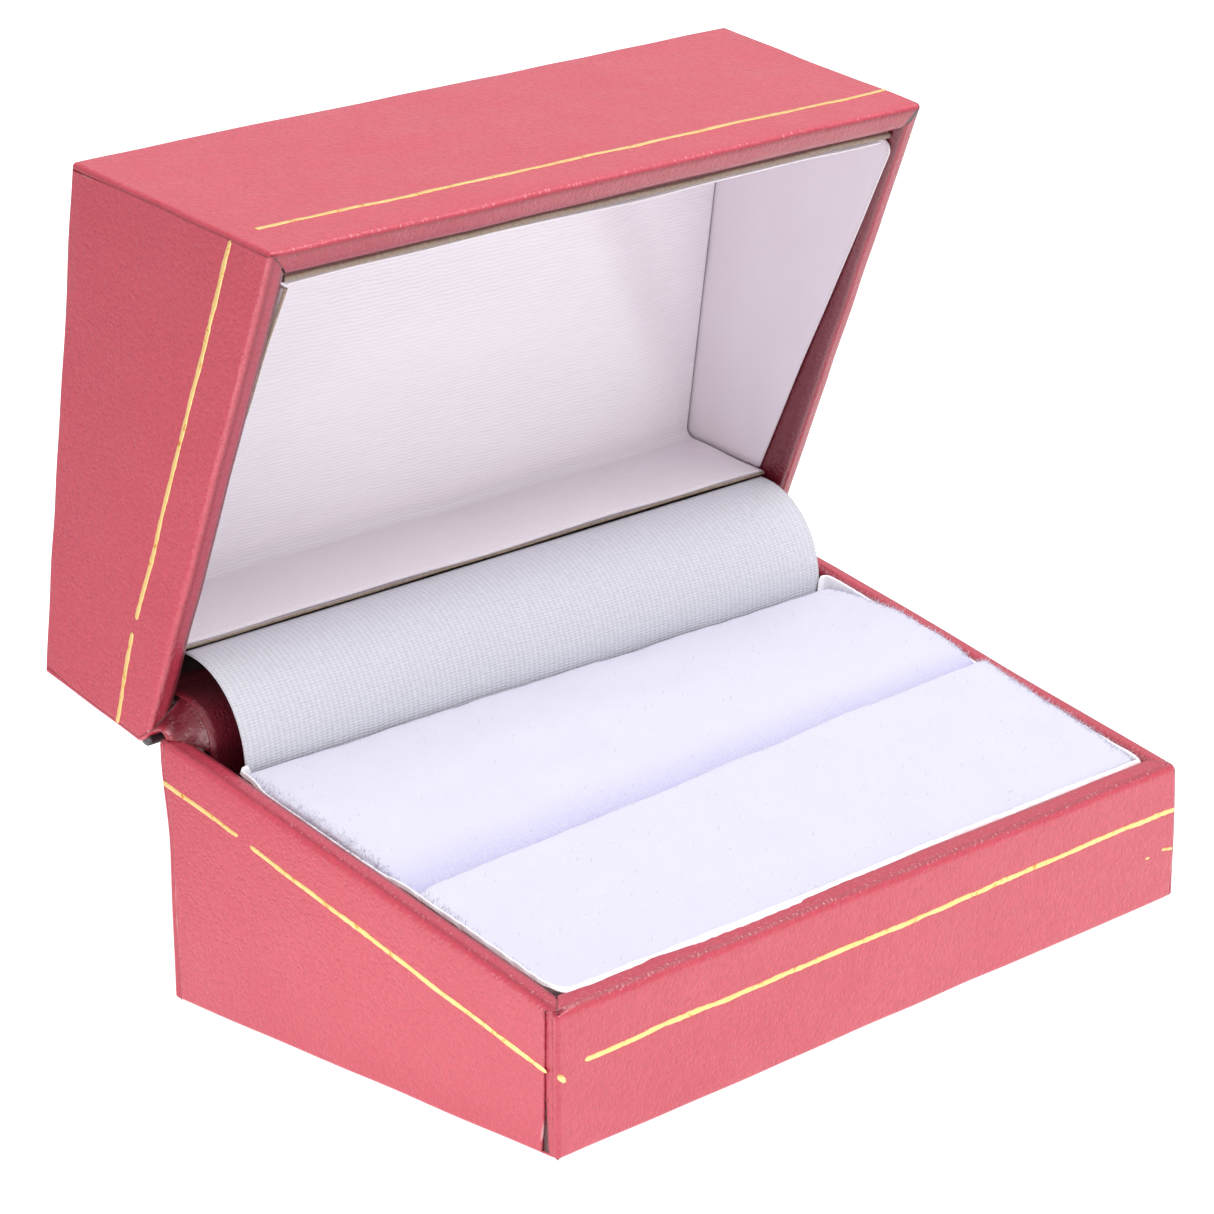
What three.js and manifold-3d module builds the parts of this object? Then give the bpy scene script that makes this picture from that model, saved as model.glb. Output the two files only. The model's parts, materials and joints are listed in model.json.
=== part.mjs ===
// A small presentation box for two rings: a wedge-shaped base with a split velvet pad, and a lid on a
// steel strip hinge, both made of greyboard trays wrapped in leatherette. Millimetres, +Z up.
// The origin is the middle of the base's underside, +X runs along the hinge, and +Y points to the back.
// The lid stands open at its stop, as the box does when it is on show.
import * as THREE from 'three';
import { mergeVertices } from 'three/addons/utils/BufferGeometryUtils.js';
import Module from 'manifold-3d';

const manifold = await Module();
manifold.setup();

// ---- Driving dimensions -------------------------------------------------------------------------

const WIDTH = 80;            // along the hinge
const DEPTH = 48.2;          // front to back
const FRONT_HEIGHT = 13.1;   // the base at its front wall
const BACK_HEIGHT = 24.4;    // the base at its back wall
const CLOSED_HEIGHT = 39.4;  // the whole box, shut
const OPEN_ANGLE = 81.5;     // degrees from shut to the open stop
const RIM_GAP = 0.2;         // between the two rims when the box is shut
const LID_SETBACK = 0.4;     // the shut lid's front wall stands this far behind the base's

const WRAP = 0.3;            // leatherette
const GLUE = 0.1;            // clearance that a glue line takes
const BOARD = 1.6;           // greyboard of the two trays
const TURN_IN = 5;           // how far the leatherette runs down inside a wall
const CARD = 0.8;            // the liner's and the pad's card
const SATIN = 0.3;

const LEAF = 0.3;            // hinge steel
const LEAF_HEIGHT = 7;
const KNUCKLE_RADIUS = 0.8;
const PIN_RADIUS = 0.35;
const PIN_BORE = 0.5;
const PIVOT_BEHIND = 0.9;    // the hinge line, behind the back face
const PIVOT_BELOW = 1.0;     // and below the base's back rim
const SHELF_BELOW = 0.2;     // the base's back wall stops this far below the hinge line
const HINGE_HALF = 37;       // half the length of the hinge strip
const KNUCKLES = 7;
const KNUCKLE_GAP = 0.3;
const RECESS_SIDE = 0.2;      // clearance at each end of the hinge strip
const RIVET_RADIUS = 0.8;
const RIVET_BORE = 0.95;
const RIVET_PLACES = [-30, 0, 30];
const COVER_DISTANCE = 0.25; // from the walls' inner faces to the middle of the cover strip
const COVER_REACH = 4;       // how far the cover strip runs along each wall
const COVER_SIDE = 0.3;      // clearance at each end of the cover strip
const SPRING_DISTANCE = 0.75;
const SPRING_REACH = 5;
const SPRING_HALF = 8;       // half the width of the snap spring
const BEND_STEPS = 12;       // straight pieces in a bend round the hinge line

const GOLD_WIDTH = 0.45;     // the tooled line that runs along each wall, near the rim
const FOIL = 0.04;
const BASE_LINE_DROP = 4.2;  // rim to the line, on the base
const LID_LINE_RISE = 4.7;   // and on the lid

const BACK_ROOM = 4.4;       // space left for the hinge between the back wall and the pad
const PAD_CLEARANCE = 0.3;
const PAD_DEPTH = 8;         // foam and velvet together
const VELVET = 0.6;
const SLIT = 0.8;            // the closed slot that grips the rings
const SLIT_PLACE = -3.4;     // its distance from the middle, along Y
const PAD_PROUD = 0.4;       // the velvet stands this far above the rim's plane
const LINER_HEIGHT = 35;     // inner face of the lid's satin ceiling, with the box shut
const FLAP_RECESS = 0.8;     // the liner's flaps stop this far inside the lid's rim plane
const SIDE_FLAP_RECESS = 3;  // and the side ones this far, next to the hinge
const BACK_FLAP_RECESS = 2.2;
const EDGING_BELOW = 0.5;    // the pad's satin edging stands this far below the rim's plane
const APRON_TUCK = 5;        // the apron runs this far down behind the pad
const APRON_BEHIND = 0.5;    // behind the pad's rear face
const APRON_BELOW = 0.6;     // the apron's bend starts this far below the rim's plane
const APRON_SIDE = 1;        // clearance at each end of the apron
const APRON_STEPS = 16;

// ---- Derived places -----------------------------------------------------------------------------

const HALF_W = WIDTH / 2;
const HALF_D = DEPTH / 2;
const SKIN = WRAP + GLUE;                    // outer face to greyboard
const WALL = SKIN + BOARD + SKIN;            // outer face to the inner turn-in's face
const BACK_SKIN = SKIN + LEAF + GLUE;        // the back wall also holds a hinge leaf
const BACK_WALL = BACK_SKIN + BOARD + SKIN;
const INNER_X = HALF_W - WALL;
const INNER_BACK = HALF_D - BACK_WALL;
const SLOPE = (BACK_HEIGHT - FRONT_HEIGHT) / DEPTH;
const PIVOT = { y: HALF_D + PIVOT_BEHIND, z: BACK_HEIGHT - PIVOT_BELOW };
const HINGE_SHELF = PIVOT.z - SHELF_BELOW;   // the back wall's rim where the hinge crosses it
const PAD_BACK = INNER_BACK - BACK_ROOM;     // the pad's rear face and the liner's back flap
const FAR = 60;                              // longer than anything that is cut
const PAST = 1;                              // a cut runs this far past the face it opens

const FRONT = { base: -HALF_D, lid: -HALF_D + LID_SETBACK };
const rimAt = (y) => FRONT_HEIGHT + (y + HALF_D) * SLOPE;

// ---- Materials ----------------------------------------------------------------------------------

const finish = (color, roughness, metalness = 0) =>
  new THREE.MeshStandardMaterial({ color, roughness, metalness });
const leatherette = finish(0xc0394f, 0.55);
const greyboard = finish(0x8d8378, 0.9);
const card = finish(0xe9e4e0, 0.85);
const satin = finish(0xf0edf4, 0.5);
const velvet = finish(0xe9e6fb, 0.95);
const foam = finish(0xf2f0ea, 0.95);
const steel = finish(0x5b5a60, 0.4, 0.9);
const gold = finish(0xe8b84a, 0.35, 0.8);

// ---- Shape helpers ------------------------------------------------------------------------------

function toSolid(geometry) {
  geometry.deleteAttribute('normal');
  geometry.deleteAttribute('uv');
  const merged = mergeVertices(geometry, 1e-5);
  return new manifold.Manifold(new manifold.Mesh({
    numProp: 3,
    vertProperties: new Float32Array(merged.attributes.position.array),
    triVerts: new Uint32Array(merged.index.array),
  }));
}

function toGeometry(solid) {
  const mesh = solid.getMesh();
  const geometry = new THREE.BufferGeometry();
  geometry.setAttribute('position', new THREE.BufferAttribute(new Float32Array(mesh.vertProperties), 3));
  geometry.setIndex(new THREE.BufferAttribute(new Uint32Array(mesh.triVerts), 1));
  geometry.computeVertexNormals();
  return geometry;
}

// A side profile of [y, z] points, carried along X from x0 to x1.
function profileSolid(points, x0, x1) {
  const shape = new THREE.Shape(points.map(([y, z]) => new THREE.Vector2(y, z)));
  const geometry = new THREE.ExtrudeGeometry(shape, { depth: x1 - x0, bevelEnabled: false });
  const axes = new THREE.Matrix4().makeBasis(
    new THREE.Vector3(0, 1, 0), new THREE.Vector3(0, 0, 1), new THREE.Vector3(1, 0, 0));
  geometry.applyMatrix4(axes);
  geometry.translate(x0, 0, 0);
  return toSolid(geometry);
}

function block([x0, x1], [y0, y1], [z0, z1]) {
  const geometry = new THREE.BoxGeometry(x1 - x0, y1 - y0, z1 - z0);
  geometry.translate((x0 + x1) / 2, (y0 + y1) / 2, (z0 + z1) / 2);
  return toSolid(geometry);
}

// A rod along X (or along Y when asked), centred on the given place.
function rod(radius, length, { x = 0, y = 0, z = 0 }, alongY = false, sides = 20) {
  const geometry = new THREE.CylinderGeometry(radius, radius, length, sides);
  if (!alongY) geometry.rotateZ(Math.PI / 2);
  geometry.translate(x, y, z);
  return toSolid(geometry);
}

// A sheet of the given thickness along a line of [y, z] points, from x0 to x1.
function bentSheet(line, thickness, x0, x1) {
  const side = (offset) => line.map(([y, z], i) => {
    const before = line[Math.max(i - 1, 0)];
    const after = line[Math.min(i + 1, line.length - 1)];
    const length = Math.hypot(after[0] - before[0], after[1] - before[1]);
    return [y - offset * (after[1] - before[1]) / length, z + offset * (after[0] - before[0]) / length];
  });
  return profileSolid([...side(-thickness / 2), ...side(thickness / 2).reverse()], x0, x1);
}

function part(name, solid, material) {
  const mesh = new THREE.Mesh(toGeometry(solid), material);
  mesh.name = name;
  return mesh;
}

// ---- The two halves share these -----------------------------------------------------------------

// The half's side outline: the base lies under the sloping rim, the lid above it.
// `inset` moves the front and the flat face inwards, `back` the back, and `rim` the sloping edge.
function outline(half, inset, back, rim) {
  const front = FRONT[half] + inset;
  const rear = HALF_D - back;
  if (half === 'base') {
    return [[front, inset], [rear, inset], [rear, rimAt(rear) - rim], [front, rimAt(front) - rim]];
  }
  const top = CLOSED_HEIGHT - inset;
  const lift = rim + RIM_GAP;
  return [[front, rimAt(front) + lift], [rear, rimAt(rear) + lift], [rear, top], [front, top]];
}

// A thin slanting band that follows the rim from y0 to y1, `depth` tall.
function rimBand(half, y0, y1, depth) {
  const toward = half === 'base' ? -1 : 1;
  const start = half === 'base' ? 0 : RIM_GAP;
  const near = (y) => [y, rimAt(y) + toward * start];
  const far = (y) => [y, rimAt(y) + toward * (start + depth)];
  const band = [near(y0), near(y1), far(y1), far(y0)];
  return half === 'base' ? band.reverse() : band;
}

// The greyboard tray, open at its rim.
function tray(half) {
  const outer = profileSolid(outline(half, SKIN, BACK_SKIN, SKIN), -HALF_W + SKIN, HALF_W - SKIN);
  const room = profileSolid(outline(half, SKIN + BOARD, BACK_SKIN + BOARD, -FAR),
    -HALF_W + SKIN + BOARD, HALF_W - SKIN - BOARD);
  return outer.subtract(room);
}

// Leatherette on a side wall: outside, over the rim and turned in. `side` is -1 left, +1 right.
function sideWrap(half, side) {
  const spanX = (from, to) => (side < 0 ? [-HALF_W + from, -HALF_W + to] : [HALF_W - to, HALF_W - from]);
  const sheet = profileSolid(outline(half, SKIN, SKIN, 0), ...spanX(0, WRAP));
  const y0 = FRONT[half] + WALL + GLUE;
  const y1 = INNER_BACK - GLUE;
  const fold = profileSolid(rimBand(half, y0, y1, WRAP), ...spanX(0, WALL));
  const turned = profileSolid(rimBand(half, y0, y1, TURN_IN), ...spanX(WALL - WRAP, WALL));
  const foot = half === 'base' ? [0, 2 * SKIN] : [CLOSED_HEIGHT - 2 * SKIN, CLOSED_HEIGHT];
  const hem = block(spanX(0, WRAP), [FRONT[half] + SKIN, HALF_D - SKIN], foot);
  return sheet.add(hem).add(fold).add(turned);
}

// Leatherette on the front wall.
function frontWrap(half) {
  const outside = FRONT[half];
  const inside = outside + WALL;
  const rim = rimAt(outside);
  const edge = half === 'base' ? [0, rim] : [rim + RIM_GAP, CLOSED_HEIGHT];
  const sheet = block([-HALF_W, HALF_W], [outside, outside + WRAP], edge);
  const fold = profileSolid(rimBand(half, outside, inside, WRAP), -HALF_W + SKIN, HALF_W - SKIN);
  const turned = profileSolid(rimBand(half, inside - WRAP, inside, TURN_IN), -INNER_X + GLUE, INNER_X - GLUE);
  return sheet.add(fold).add(turned);
}

// Leatherette on the back wall.
function backWrap(half) {
  const face = [HALF_D - WRAP, HALF_D];
  const edge = half === 'base' ? [0, BACK_HEIGHT] : [BACK_HEIGHT + RIM_GAP, CLOSED_HEIGHT];
  const sheet = block([-HALF_W, HALF_W], face, edge);
  const fold = profileSolid(rimBand(half, INNER_BACK, HALF_D, WRAP), -HALF_W + SKIN, HALF_W - SKIN);
  const turned = profileSolid(rimBand(half, INNER_BACK, INNER_BACK + WRAP, TURN_IN),
    -INNER_X + GLUE, INNER_X - GLUE);
  return sheet.add(fold).add(turned);
}

// Distance from the rim to the near edge of the gold line.
const lineStart = (half) => (half === 'base' ? BASE_LINE_DROP : LID_LINE_RISE);

// The gold line along a side wall follows the rim.
function sideGoldLine(half, side) {
  const toward = half === 'base' ? -1 : 1;
  const at = (y, extra) => [y, rimAt(y) + toward * (lineStart(half) + extra)];
  const points = [at(FRONT[half], 0), at(HALF_D, 0), at(HALF_D, GOLD_WIDTH), at(FRONT[half], GOLD_WIDTH)];
  const x = side * (HALF_W + FOIL / 2);
  return profileSolid(half === 'base' ? points.reverse() : points, x - FOIL / 2, x + FOIL / 2);
}

function frontGoldLine(half) {
  const toward = half === 'base' ? -1 : 1;
  const edges = [0, GOLD_WIDTH].map((extra) => rimAt(FRONT[half]) + toward * (lineStart(half) + extra));
  return block([-HALF_W, HALF_W], [FRONT[half] - FOIL, FRONT[half]], edges.sort((a, b) => a - b));
}

// ---- Hinge --------------------------------------------------------------------------------------

// Knuckle spans along X. Even ones belong to the base's leaf, odd ones to the lid's.
function knuckleSpans(own) {
  const pitch = (2 * HINGE_HALF) / KNUCKLES;
  const spans = [];
  for (let i = own; i < KNUCKLES; i += 2) {
    const start = -HINGE_HALF + i * pitch;
    spans.push([start + KNUCKLE_GAP / 2, start + pitch - KNUCKLE_GAP / 2]);
  }
  return spans;
}

// One leaf: a flat strip under the leatherette, flanges out over the rim, and rolled knuckles.
function hingeLeaf(half) {
  const own = half === 'base' ? 0 : 1;
  const plateY = [HALF_D - SKIN - LEAF, HALF_D - SKIN];
  const flangeZ = half === 'base'
    ? [PIVOT.z - GLUE, PIVOT.z - GLUE + LEAF]
    : [PIVOT.z + LEAF + GLUE, PIVOT.z + 2 * LEAF + GLUE];
  const plateZ = half === 'base'
    ? [HINGE_SHELF - LEAF_HEIGHT, HINGE_SHELF - SKIN]
    : [BACK_HEIGHT + RIM_GAP + SKIN, BACK_HEIGHT + RIM_GAP + LEAF_HEIGHT];
  let leaf = block([-HINGE_HALF, HINGE_HALF], plateY, plateZ);
  for (const span of knuckleSpans(own)) {
    const neck = half === 'base' ? [plateZ[1] - LEAF, flangeZ[1]] : [flangeZ[0], plateZ[0] + LEAF];
    const roll = rod(KNUCKLE_RADIUS, span[1] - span[0], { x: (span[0] + span[1]) / 2, ...PIVOT });
    leaf = leaf.add(block(span, plateY, neck)).add(block(span, [plateY[0], PIVOT.y], flangeZ)).add(roll);
  }
  leaf = leaf.subtract(rod(PIN_BORE, FAR * 2, PIVOT));
  for (const x of RIVET_PLACES) {
    leaf = leaf.subtract(rivetHole(half, x));
  }
  return leaf;
}

function rivetPlace(half, x) {
  const z = half === 'base'
    ? HINGE_SHELF - LEAF_HEIGHT / 2 - GLUE
    : BACK_HEIGHT + RIM_GAP + LEAF_HEIGHT / 2 + GLUE;
  return { x, y: HALF_D - SKIN - (LEAF + GLUE + BOARD) / 2, z };
}

function rivetHole(half, x) {
  return rod(RIVET_BORE, BACK_WALL * 2, rivetPlace(half, x), true);
}

function rivet(half, x) {
  return rod(RIVET_RADIUS, LEAF + GLUE + BOARD, rivetPlace(half, x), true);
}

const hingePin = () => rod(PIN_RADIUS, 2 * HINGE_HALF, PIVOT);

// A point at `radius` from the hinge line, at an angle in degrees from +Y.
function aroundPivot(radius, degrees) {
  const angle = THREE.MathUtils.degToRad(degrees);
  return [PIVOT.y + radius * Math.cos(angle), PIVOT.z + radius * Math.sin(angle)];
}

// A strip that lies on both back walls' inner faces and bends round the hinge line in front of them.
function overHinge(distance, reach, thickness, halfWidth) {
  const radius = PIVOT.y - INNER_BACK + distance;
  const line = [[PIVOT.y - radius, PIVOT.z - reach]];
  for (let i = 0; i <= BEND_STEPS; i += 1) {
    line.push(aroundPivot(radius, 180 - (OPEN_ANGLE * i) / BEND_STEPS));
  }
  const last = line[line.length - 1];
  const along = THREE.MathUtils.degToRad(90 - OPEN_ANGLE);
  line.push([last[0] + reach * Math.cos(along), last[1] + reach * Math.sin(along)]);
  return bentSheet(line, thickness, -halfWidth, halfWidth);
}

const coverStrip = () => overHinge(COVER_DISTANCE, COVER_REACH, WRAP, INNER_X - COVER_SIDE);
const snapSpring = () => overHinge(SPRING_DISTANCE, SPRING_REACH, LEAF, SPRING_HALF);

// The satin curtain that hides the hinge: a quarter ellipse from behind the pad up to the lid's liner.
function apron() {
  const flapEdge = openPoint(PAD_BACK + CARD, rimAt(PAD_BACK) + BACK_FLAP_RECESS - SATIN);
  const foot = [PAD_BACK + APRON_BEHIND, rimAt(PAD_BACK) - APRON_BELOW];
  const reach = [flapEdge[0] - foot[0], flapEdge[1] - foot[1]];
  const line = [[foot[0], foot[1] - APRON_TUCK]];
  for (let i = 0; i <= APRON_STEPS; i += 1) {
    const t = (Math.PI / 2) * (i / APRON_STEPS);
    line.push([foot[0] + reach[0] * (1 - Math.cos(t)), foot[1] + reach[1] * Math.sin(t)]);
  }
  return bentSheet(line, SATIN, -INNER_X + APRON_SIDE, INNER_X - APRON_SIDE);
}

// Where a point of the shut lid stands when the lid is open.
function openPoint(y, z) {
  const hinge = new THREE.Vector2(PIVOT.y, PIVOT.z);
  const point = new THREE.Vector2(y, z).rotateAround(hinge, -THREE.MathUtils.degToRad(OPEN_ANGLE));
  return [point.x, point.y];
}

// ---- Base ---------------------------------------------------------------------------------------

// The back wall of the base is lower where the hinge crosses it.
const hingeRecess = (floor, side) => block([-HINGE_HALF - side, HINGE_HALF + side],
  [INNER_BACK - PAST, HALF_D + PAST], [floor, FAR]);

function baseTray() {
  let body = tray('base').subtract(hingeRecess(HINGE_SHELF - SKIN, 2 * RECESS_SIDE + GLUE));
  for (const x of RIVET_PLACES) {
    body = body.subtract(rivetHole('base', x));
  }
  return body;
}

function baseBackWrap() {
  const half = HINGE_HALF + 2 * RECESS_SIDE;
  const shelf = block([-half, half], [INNER_BACK, HALF_D - BACK_SKIN], [HINGE_SHELF - WRAP, HINGE_SHELF]);
  return backWrap('base').subtract(hingeRecess(HINGE_SHELF, RECESS_SIDE)).add(shelf);
}

const bottomSheet = () => block([-HALF_W + SKIN, HALF_W - SKIN],
  [-HALF_D + SKIN, HALF_D - SKIN], [0, WRAP]);

// A slanting slab under the rim: `top` and `bottom` are depths below the rim plane.
function slab([x0, x1], [y0, y1], top, bottom) {
  return profileSolid([[y0, rimAt(y0) - bottom], [y1, rimAt(y1) - bottom],
    [y1, rimAt(y1) - top], [y0, rimAt(y0) - top]], x0, x1);
}

const PAD_X = INNER_X - PAD_CLEARANCE;
const PAD_FRONT = FRONT.base + WALL + PAD_CLEARANCE;

// The folded card that holds the pad up at the rim's slope: a slanting top on two legs.
function riser() {
  const under = PAD_DEPTH + CARD + 2 * GLUE;
  const floor = SKIN + BOARD + GLUE;
  const span = [-PAD_X, PAD_X];
  const frontLeg = block(span, [PAD_FRONT, PAD_FRONT + CARD], [floor, rimAt(PAD_FRONT) - under - CARD / 2]);
  const backLeg = block(span, [PAD_BACK - CARD, PAD_BACK], [floor, rimAt(PAD_BACK) - under - CARD / 2]);
  return slab(span, [PAD_FRONT, PAD_BACK], under, under + CARD).add(frontLeg).add(backLeg);
}

const padCard = () => slab([-PAD_X, PAD_X], [PAD_FRONT, PAD_BACK], PAD_DEPTH + GLUE, PAD_DEPTH + GLUE + CARD);

// The satin edging: a strip on edge all round the pad.
function padEdging() {
  const outer = slab([-PAD_X, PAD_X], [PAD_FRONT, PAD_BACK], EDGING_BELOW, PAD_DEPTH);
  const inner = slab([-PAD_X + SATIN, PAD_X - SATIN], [PAD_FRONT + SATIN, PAD_BACK - SATIN],
    -PAST, PAD_DEPTH + PAST);
  return outer.subtract(inner);
}

const PAD_SPANS = {
  front: [PAD_FRONT + SATIN + PAD_CLEARANCE, SLIT_PLACE - SLIT / 2],
  rear: [SLIT_PLACE + SLIT / 2, PAD_BACK - SATIN - PAD_CLEARANCE],
};
const PAD_HALF = PAD_X - SATIN - PAD_CLEARANCE;

// A velvet cover, open underneath, over one half of the pad.
function velvetCover(which) {
  const [y0, y1] = PAD_SPANS[which];
  const outer = slab([-PAD_HALF, PAD_HALF], [y0, y1], -PAD_PROUD, PAD_DEPTH);
  const inner = slab([-PAD_HALF + VELVET, PAD_HALF - VELVET], [y0 + VELVET, y1 - VELVET],
    VELVET - PAD_PROUD, PAD_DEPTH + PAST);
  return outer.subtract(inner);
}

function foamBlock(which) {
  const [y0, y1] = PAD_SPANS[which];
  const skin = VELVET + PAD_CLEARANCE;
  return slab([-PAD_HALF + skin, PAD_HALF - skin], [y0 + skin, y1 - skin], skin - PAD_PROUD, PAD_DEPTH - GLUE);
}

// ---- Lid, drawn shut ----------------------------------------------------------------------------

// The hinge leaf comes out through a slot in the fold of leatherette over the lid's back wall.
function lidBackWrap() {
  const half = HINGE_HALF + RECESS_SIDE;
  const slot = block([-half, half], [HALF_D - BACK_SKIN, HALF_D - WRAP],
    [BACK_HEIGHT - PAST, BACK_HEIGHT + RIM_GAP + SKIN]);
  return backWrap('lid').subtract(slot);
}

function lidTray() {
  let body = tray('lid');
  for (const x of RIVET_PLACES) {
    body = body.subtract(rivetHole('lid', x));
  }
  return body;
}

const topSheet = () => block([-HALF_W + SKIN, HALF_W - SKIN],
  [FRONT.lid + SKIN, HALF_D - SKIN], [CLOSED_HEIGHT - WRAP, CLOSED_HEIGHT]);

const LINER_X = INNER_X - PAD_CLEARANCE;
const LINER_FRONT = FRONT.lid + WALL + PAD_CLEARANCE;
const LINER_TOP = CLOSED_HEIGHT - SKIN - BOARD - GLUE;
const FLAP_TOP = LINER_HEIGHT + SATIN + GLUE;

const ceilingCard = () => block([-LINER_X, LINER_X], [LINER_FRONT, PAD_BACK + CARD],
  [LINER_TOP - CARD, LINER_TOP]);

const ceilingWadding = () => block([-LINER_X, LINER_X], [LINER_FRONT, PAD_BACK + CARD],
  [FLAP_TOP + GLUE, LINER_TOP - CARD - GLUE]);

// A side flap stands on edge, cut back from the rim a little more towards the hinge.
function sideFlap(side) {
  const y0 = LINER_FRONT + CARD + GLUE;
  const y1 = PAD_BACK - GLUE;
  const points = [[y0, rimAt(y0) + FLAP_RECESS], [y1, rimAt(y1) + SIDE_FLAP_RECESS],
    [y1, FLAP_TOP], [y0, FLAP_TOP]];
  const x = side * LINER_X;
  return profileSolid(points, Math.min(x, x - side * CARD), Math.max(x, x - side * CARD));
}

const frontFlap = () => block([-LINER_X, LINER_X], [LINER_FRONT, LINER_FRONT + CARD],
  [rimAt(LINER_FRONT + CARD) + FLAP_RECESS, FLAP_TOP]);

const backFlap = () => block([-LINER_X, LINER_X], [PAD_BACK, PAD_BACK + CARD],
  [rimAt(PAD_BACK) + BACK_FLAP_RECESS, FLAP_TOP]);

// One length of satin lines the front flap, the ceiling and the back flap.
function linerSatin() {
  const half = LINER_X - CARD - GLUE;
  const front = LINER_FRONT + CARD + GLUE;
  const back = PAD_BACK - GLUE;
  const ceiling = block([-half, half], [front, back], [LINER_HEIGHT, LINER_HEIGHT + SATIN]);
  const frontFall = block([-half, half], [front, front + SATIN],
    [rimAt(front + SATIN) + FLAP_RECESS, LINER_HEIGHT + SATIN]);
  const backFall = block([-half, half], [back - SATIN, back],
    [rimAt(PAD_BACK) + BACK_FLAP_RECESS, LINER_HEIGHT + SATIN]);
  return ceiling.add(frontFall).add(backFall);
}

// ---- Assembly -----------------------------------------------------------------------------------

function goldLines(half) {
  return [
    part(`${half}_front_gold_line`, frontGoldLine(half), gold),
    part(`${half}_left_gold_line`, sideGoldLine(half, -1), gold),
    part(`${half}_right_gold_line`, sideGoldLine(half, 1), gold),
  ];
}

function baseParts() {
  return [
    part('base_tray', baseTray(), greyboard),
    part('base_front_wrap', frontWrap('base'), leatherette),
    part('base_left_wrap', sideWrap('base', -1), leatherette),
    part('base_right_wrap', sideWrap('base', 1), leatherette),
    part('base_back_wrap', baseBackWrap(), leatherette),
    part('base_bottom_sheet', bottomSheet(), leatherette),
    part('pad_riser', riser(), card),
    part('pad_card', padCard(), card),
    part('pad_satin_edging', padEdging(), satin),
    part('front_foam', foamBlock('front'), foam),
    part('rear_foam', foamBlock('rear'), foam),
    part('front_velvet_pad', velvetCover('front'), velvet),
    part('rear_velvet_pad', velvetCover('rear'), velvet),
    part('hinge_base_leaf', hingeLeaf('base'), steel),
    part('hinge_pin', hingePin(), steel),
    part('hinge_cover_strip', coverStrip(), leatherette),
    part('snap_spring', snapSpring(), steel),
    part('satin_apron', apron(), satin),
    ...RIVET_PLACES.map((x, i) => part(`base_rivet_${i + 1}`, rivet('base', x), steel)),
    ...goldLines('base'),
  ];
}

function lidParts() {
  return [
    part('lid_tray', lidTray(), greyboard),
    part('lid_front_wrap', frontWrap('lid'), leatherette),
    part('lid_left_wrap', sideWrap('lid', -1), leatherette),
    part('lid_right_wrap', sideWrap('lid', 1), leatherette),
    part('lid_back_wrap', lidBackWrap(), leatherette),
    part('lid_top_sheet', topSheet(), leatherette),
    part('liner_card', ceilingCard(), card),
    part('liner_wadding', ceilingWadding(), foam),
    part('liner_satin', linerSatin(), satin),
    part('liner_front_flap', frontFlap(), card),
    part('liner_back_flap', backFlap(), card),
    part('liner_left_flap', sideFlap(-1), card),
    part('liner_right_flap', sideFlap(1), card),
    part('hinge_lid_leaf', hingeLeaf('lid'), steel),
    ...RIVET_PLACES.map((x, i) => part(`lid_rivet_${i + 1}`, rivet('lid', x), steel)),
    ...goldLines('lid'),
  ];
}

// The lid is drawn shut, hung from the hinge line and swung open.
function openLid() {
  const hanger = new THREE.Group();
  hanger.position.set(0, -PIVOT.y, -PIVOT.z);
  hanger.add(...lidParts());
  const swing = new THREE.Group();
  swing.position.set(0, PIVOT.y, PIVOT.z);
  swing.rotation.x = -THREE.MathUtils.degToRad(OPEN_ANGLE);
  swing.add(hanger);
  return swing;
}

const box = new THREE.Group();
box.add(...baseParts(), openLid());

export default box;
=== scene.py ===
import json
import math
import bpy
import bmesh
import numpy as np
from mathutils import Matrix, Vector


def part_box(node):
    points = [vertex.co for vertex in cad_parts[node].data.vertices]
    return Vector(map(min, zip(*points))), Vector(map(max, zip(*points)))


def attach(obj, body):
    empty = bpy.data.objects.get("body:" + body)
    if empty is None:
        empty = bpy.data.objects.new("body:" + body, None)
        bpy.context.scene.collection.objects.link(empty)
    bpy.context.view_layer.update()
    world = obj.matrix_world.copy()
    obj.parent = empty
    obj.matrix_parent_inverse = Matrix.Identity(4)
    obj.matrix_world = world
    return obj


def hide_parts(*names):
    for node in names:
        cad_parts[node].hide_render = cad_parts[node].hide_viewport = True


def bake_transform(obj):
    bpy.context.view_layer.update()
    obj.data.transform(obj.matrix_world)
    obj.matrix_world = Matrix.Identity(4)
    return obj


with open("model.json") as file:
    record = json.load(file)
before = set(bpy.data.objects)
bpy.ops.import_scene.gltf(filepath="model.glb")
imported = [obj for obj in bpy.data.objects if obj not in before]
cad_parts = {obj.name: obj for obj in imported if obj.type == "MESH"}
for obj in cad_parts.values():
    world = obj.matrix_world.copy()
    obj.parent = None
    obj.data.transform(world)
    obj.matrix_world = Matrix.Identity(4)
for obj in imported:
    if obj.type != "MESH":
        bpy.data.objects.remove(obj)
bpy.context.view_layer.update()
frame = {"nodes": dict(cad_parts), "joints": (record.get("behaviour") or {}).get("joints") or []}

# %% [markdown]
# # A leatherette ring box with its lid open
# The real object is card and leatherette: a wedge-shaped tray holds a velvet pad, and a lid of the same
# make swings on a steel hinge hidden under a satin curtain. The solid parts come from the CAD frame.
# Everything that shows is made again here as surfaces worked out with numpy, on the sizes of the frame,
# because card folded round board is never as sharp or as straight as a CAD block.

MM = 0.001

# %% [markdown]
# ## Sizes taken from the frame
# All shapes are worked out in millimetres. The base's front and back wraps give its width, depth and
# the slope of the rim. The lid is drawn shut, where its walls are upright, and then swung open about
# the hinge line, so points of its CAD nodes are first swung shut to read their sizes.

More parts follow.
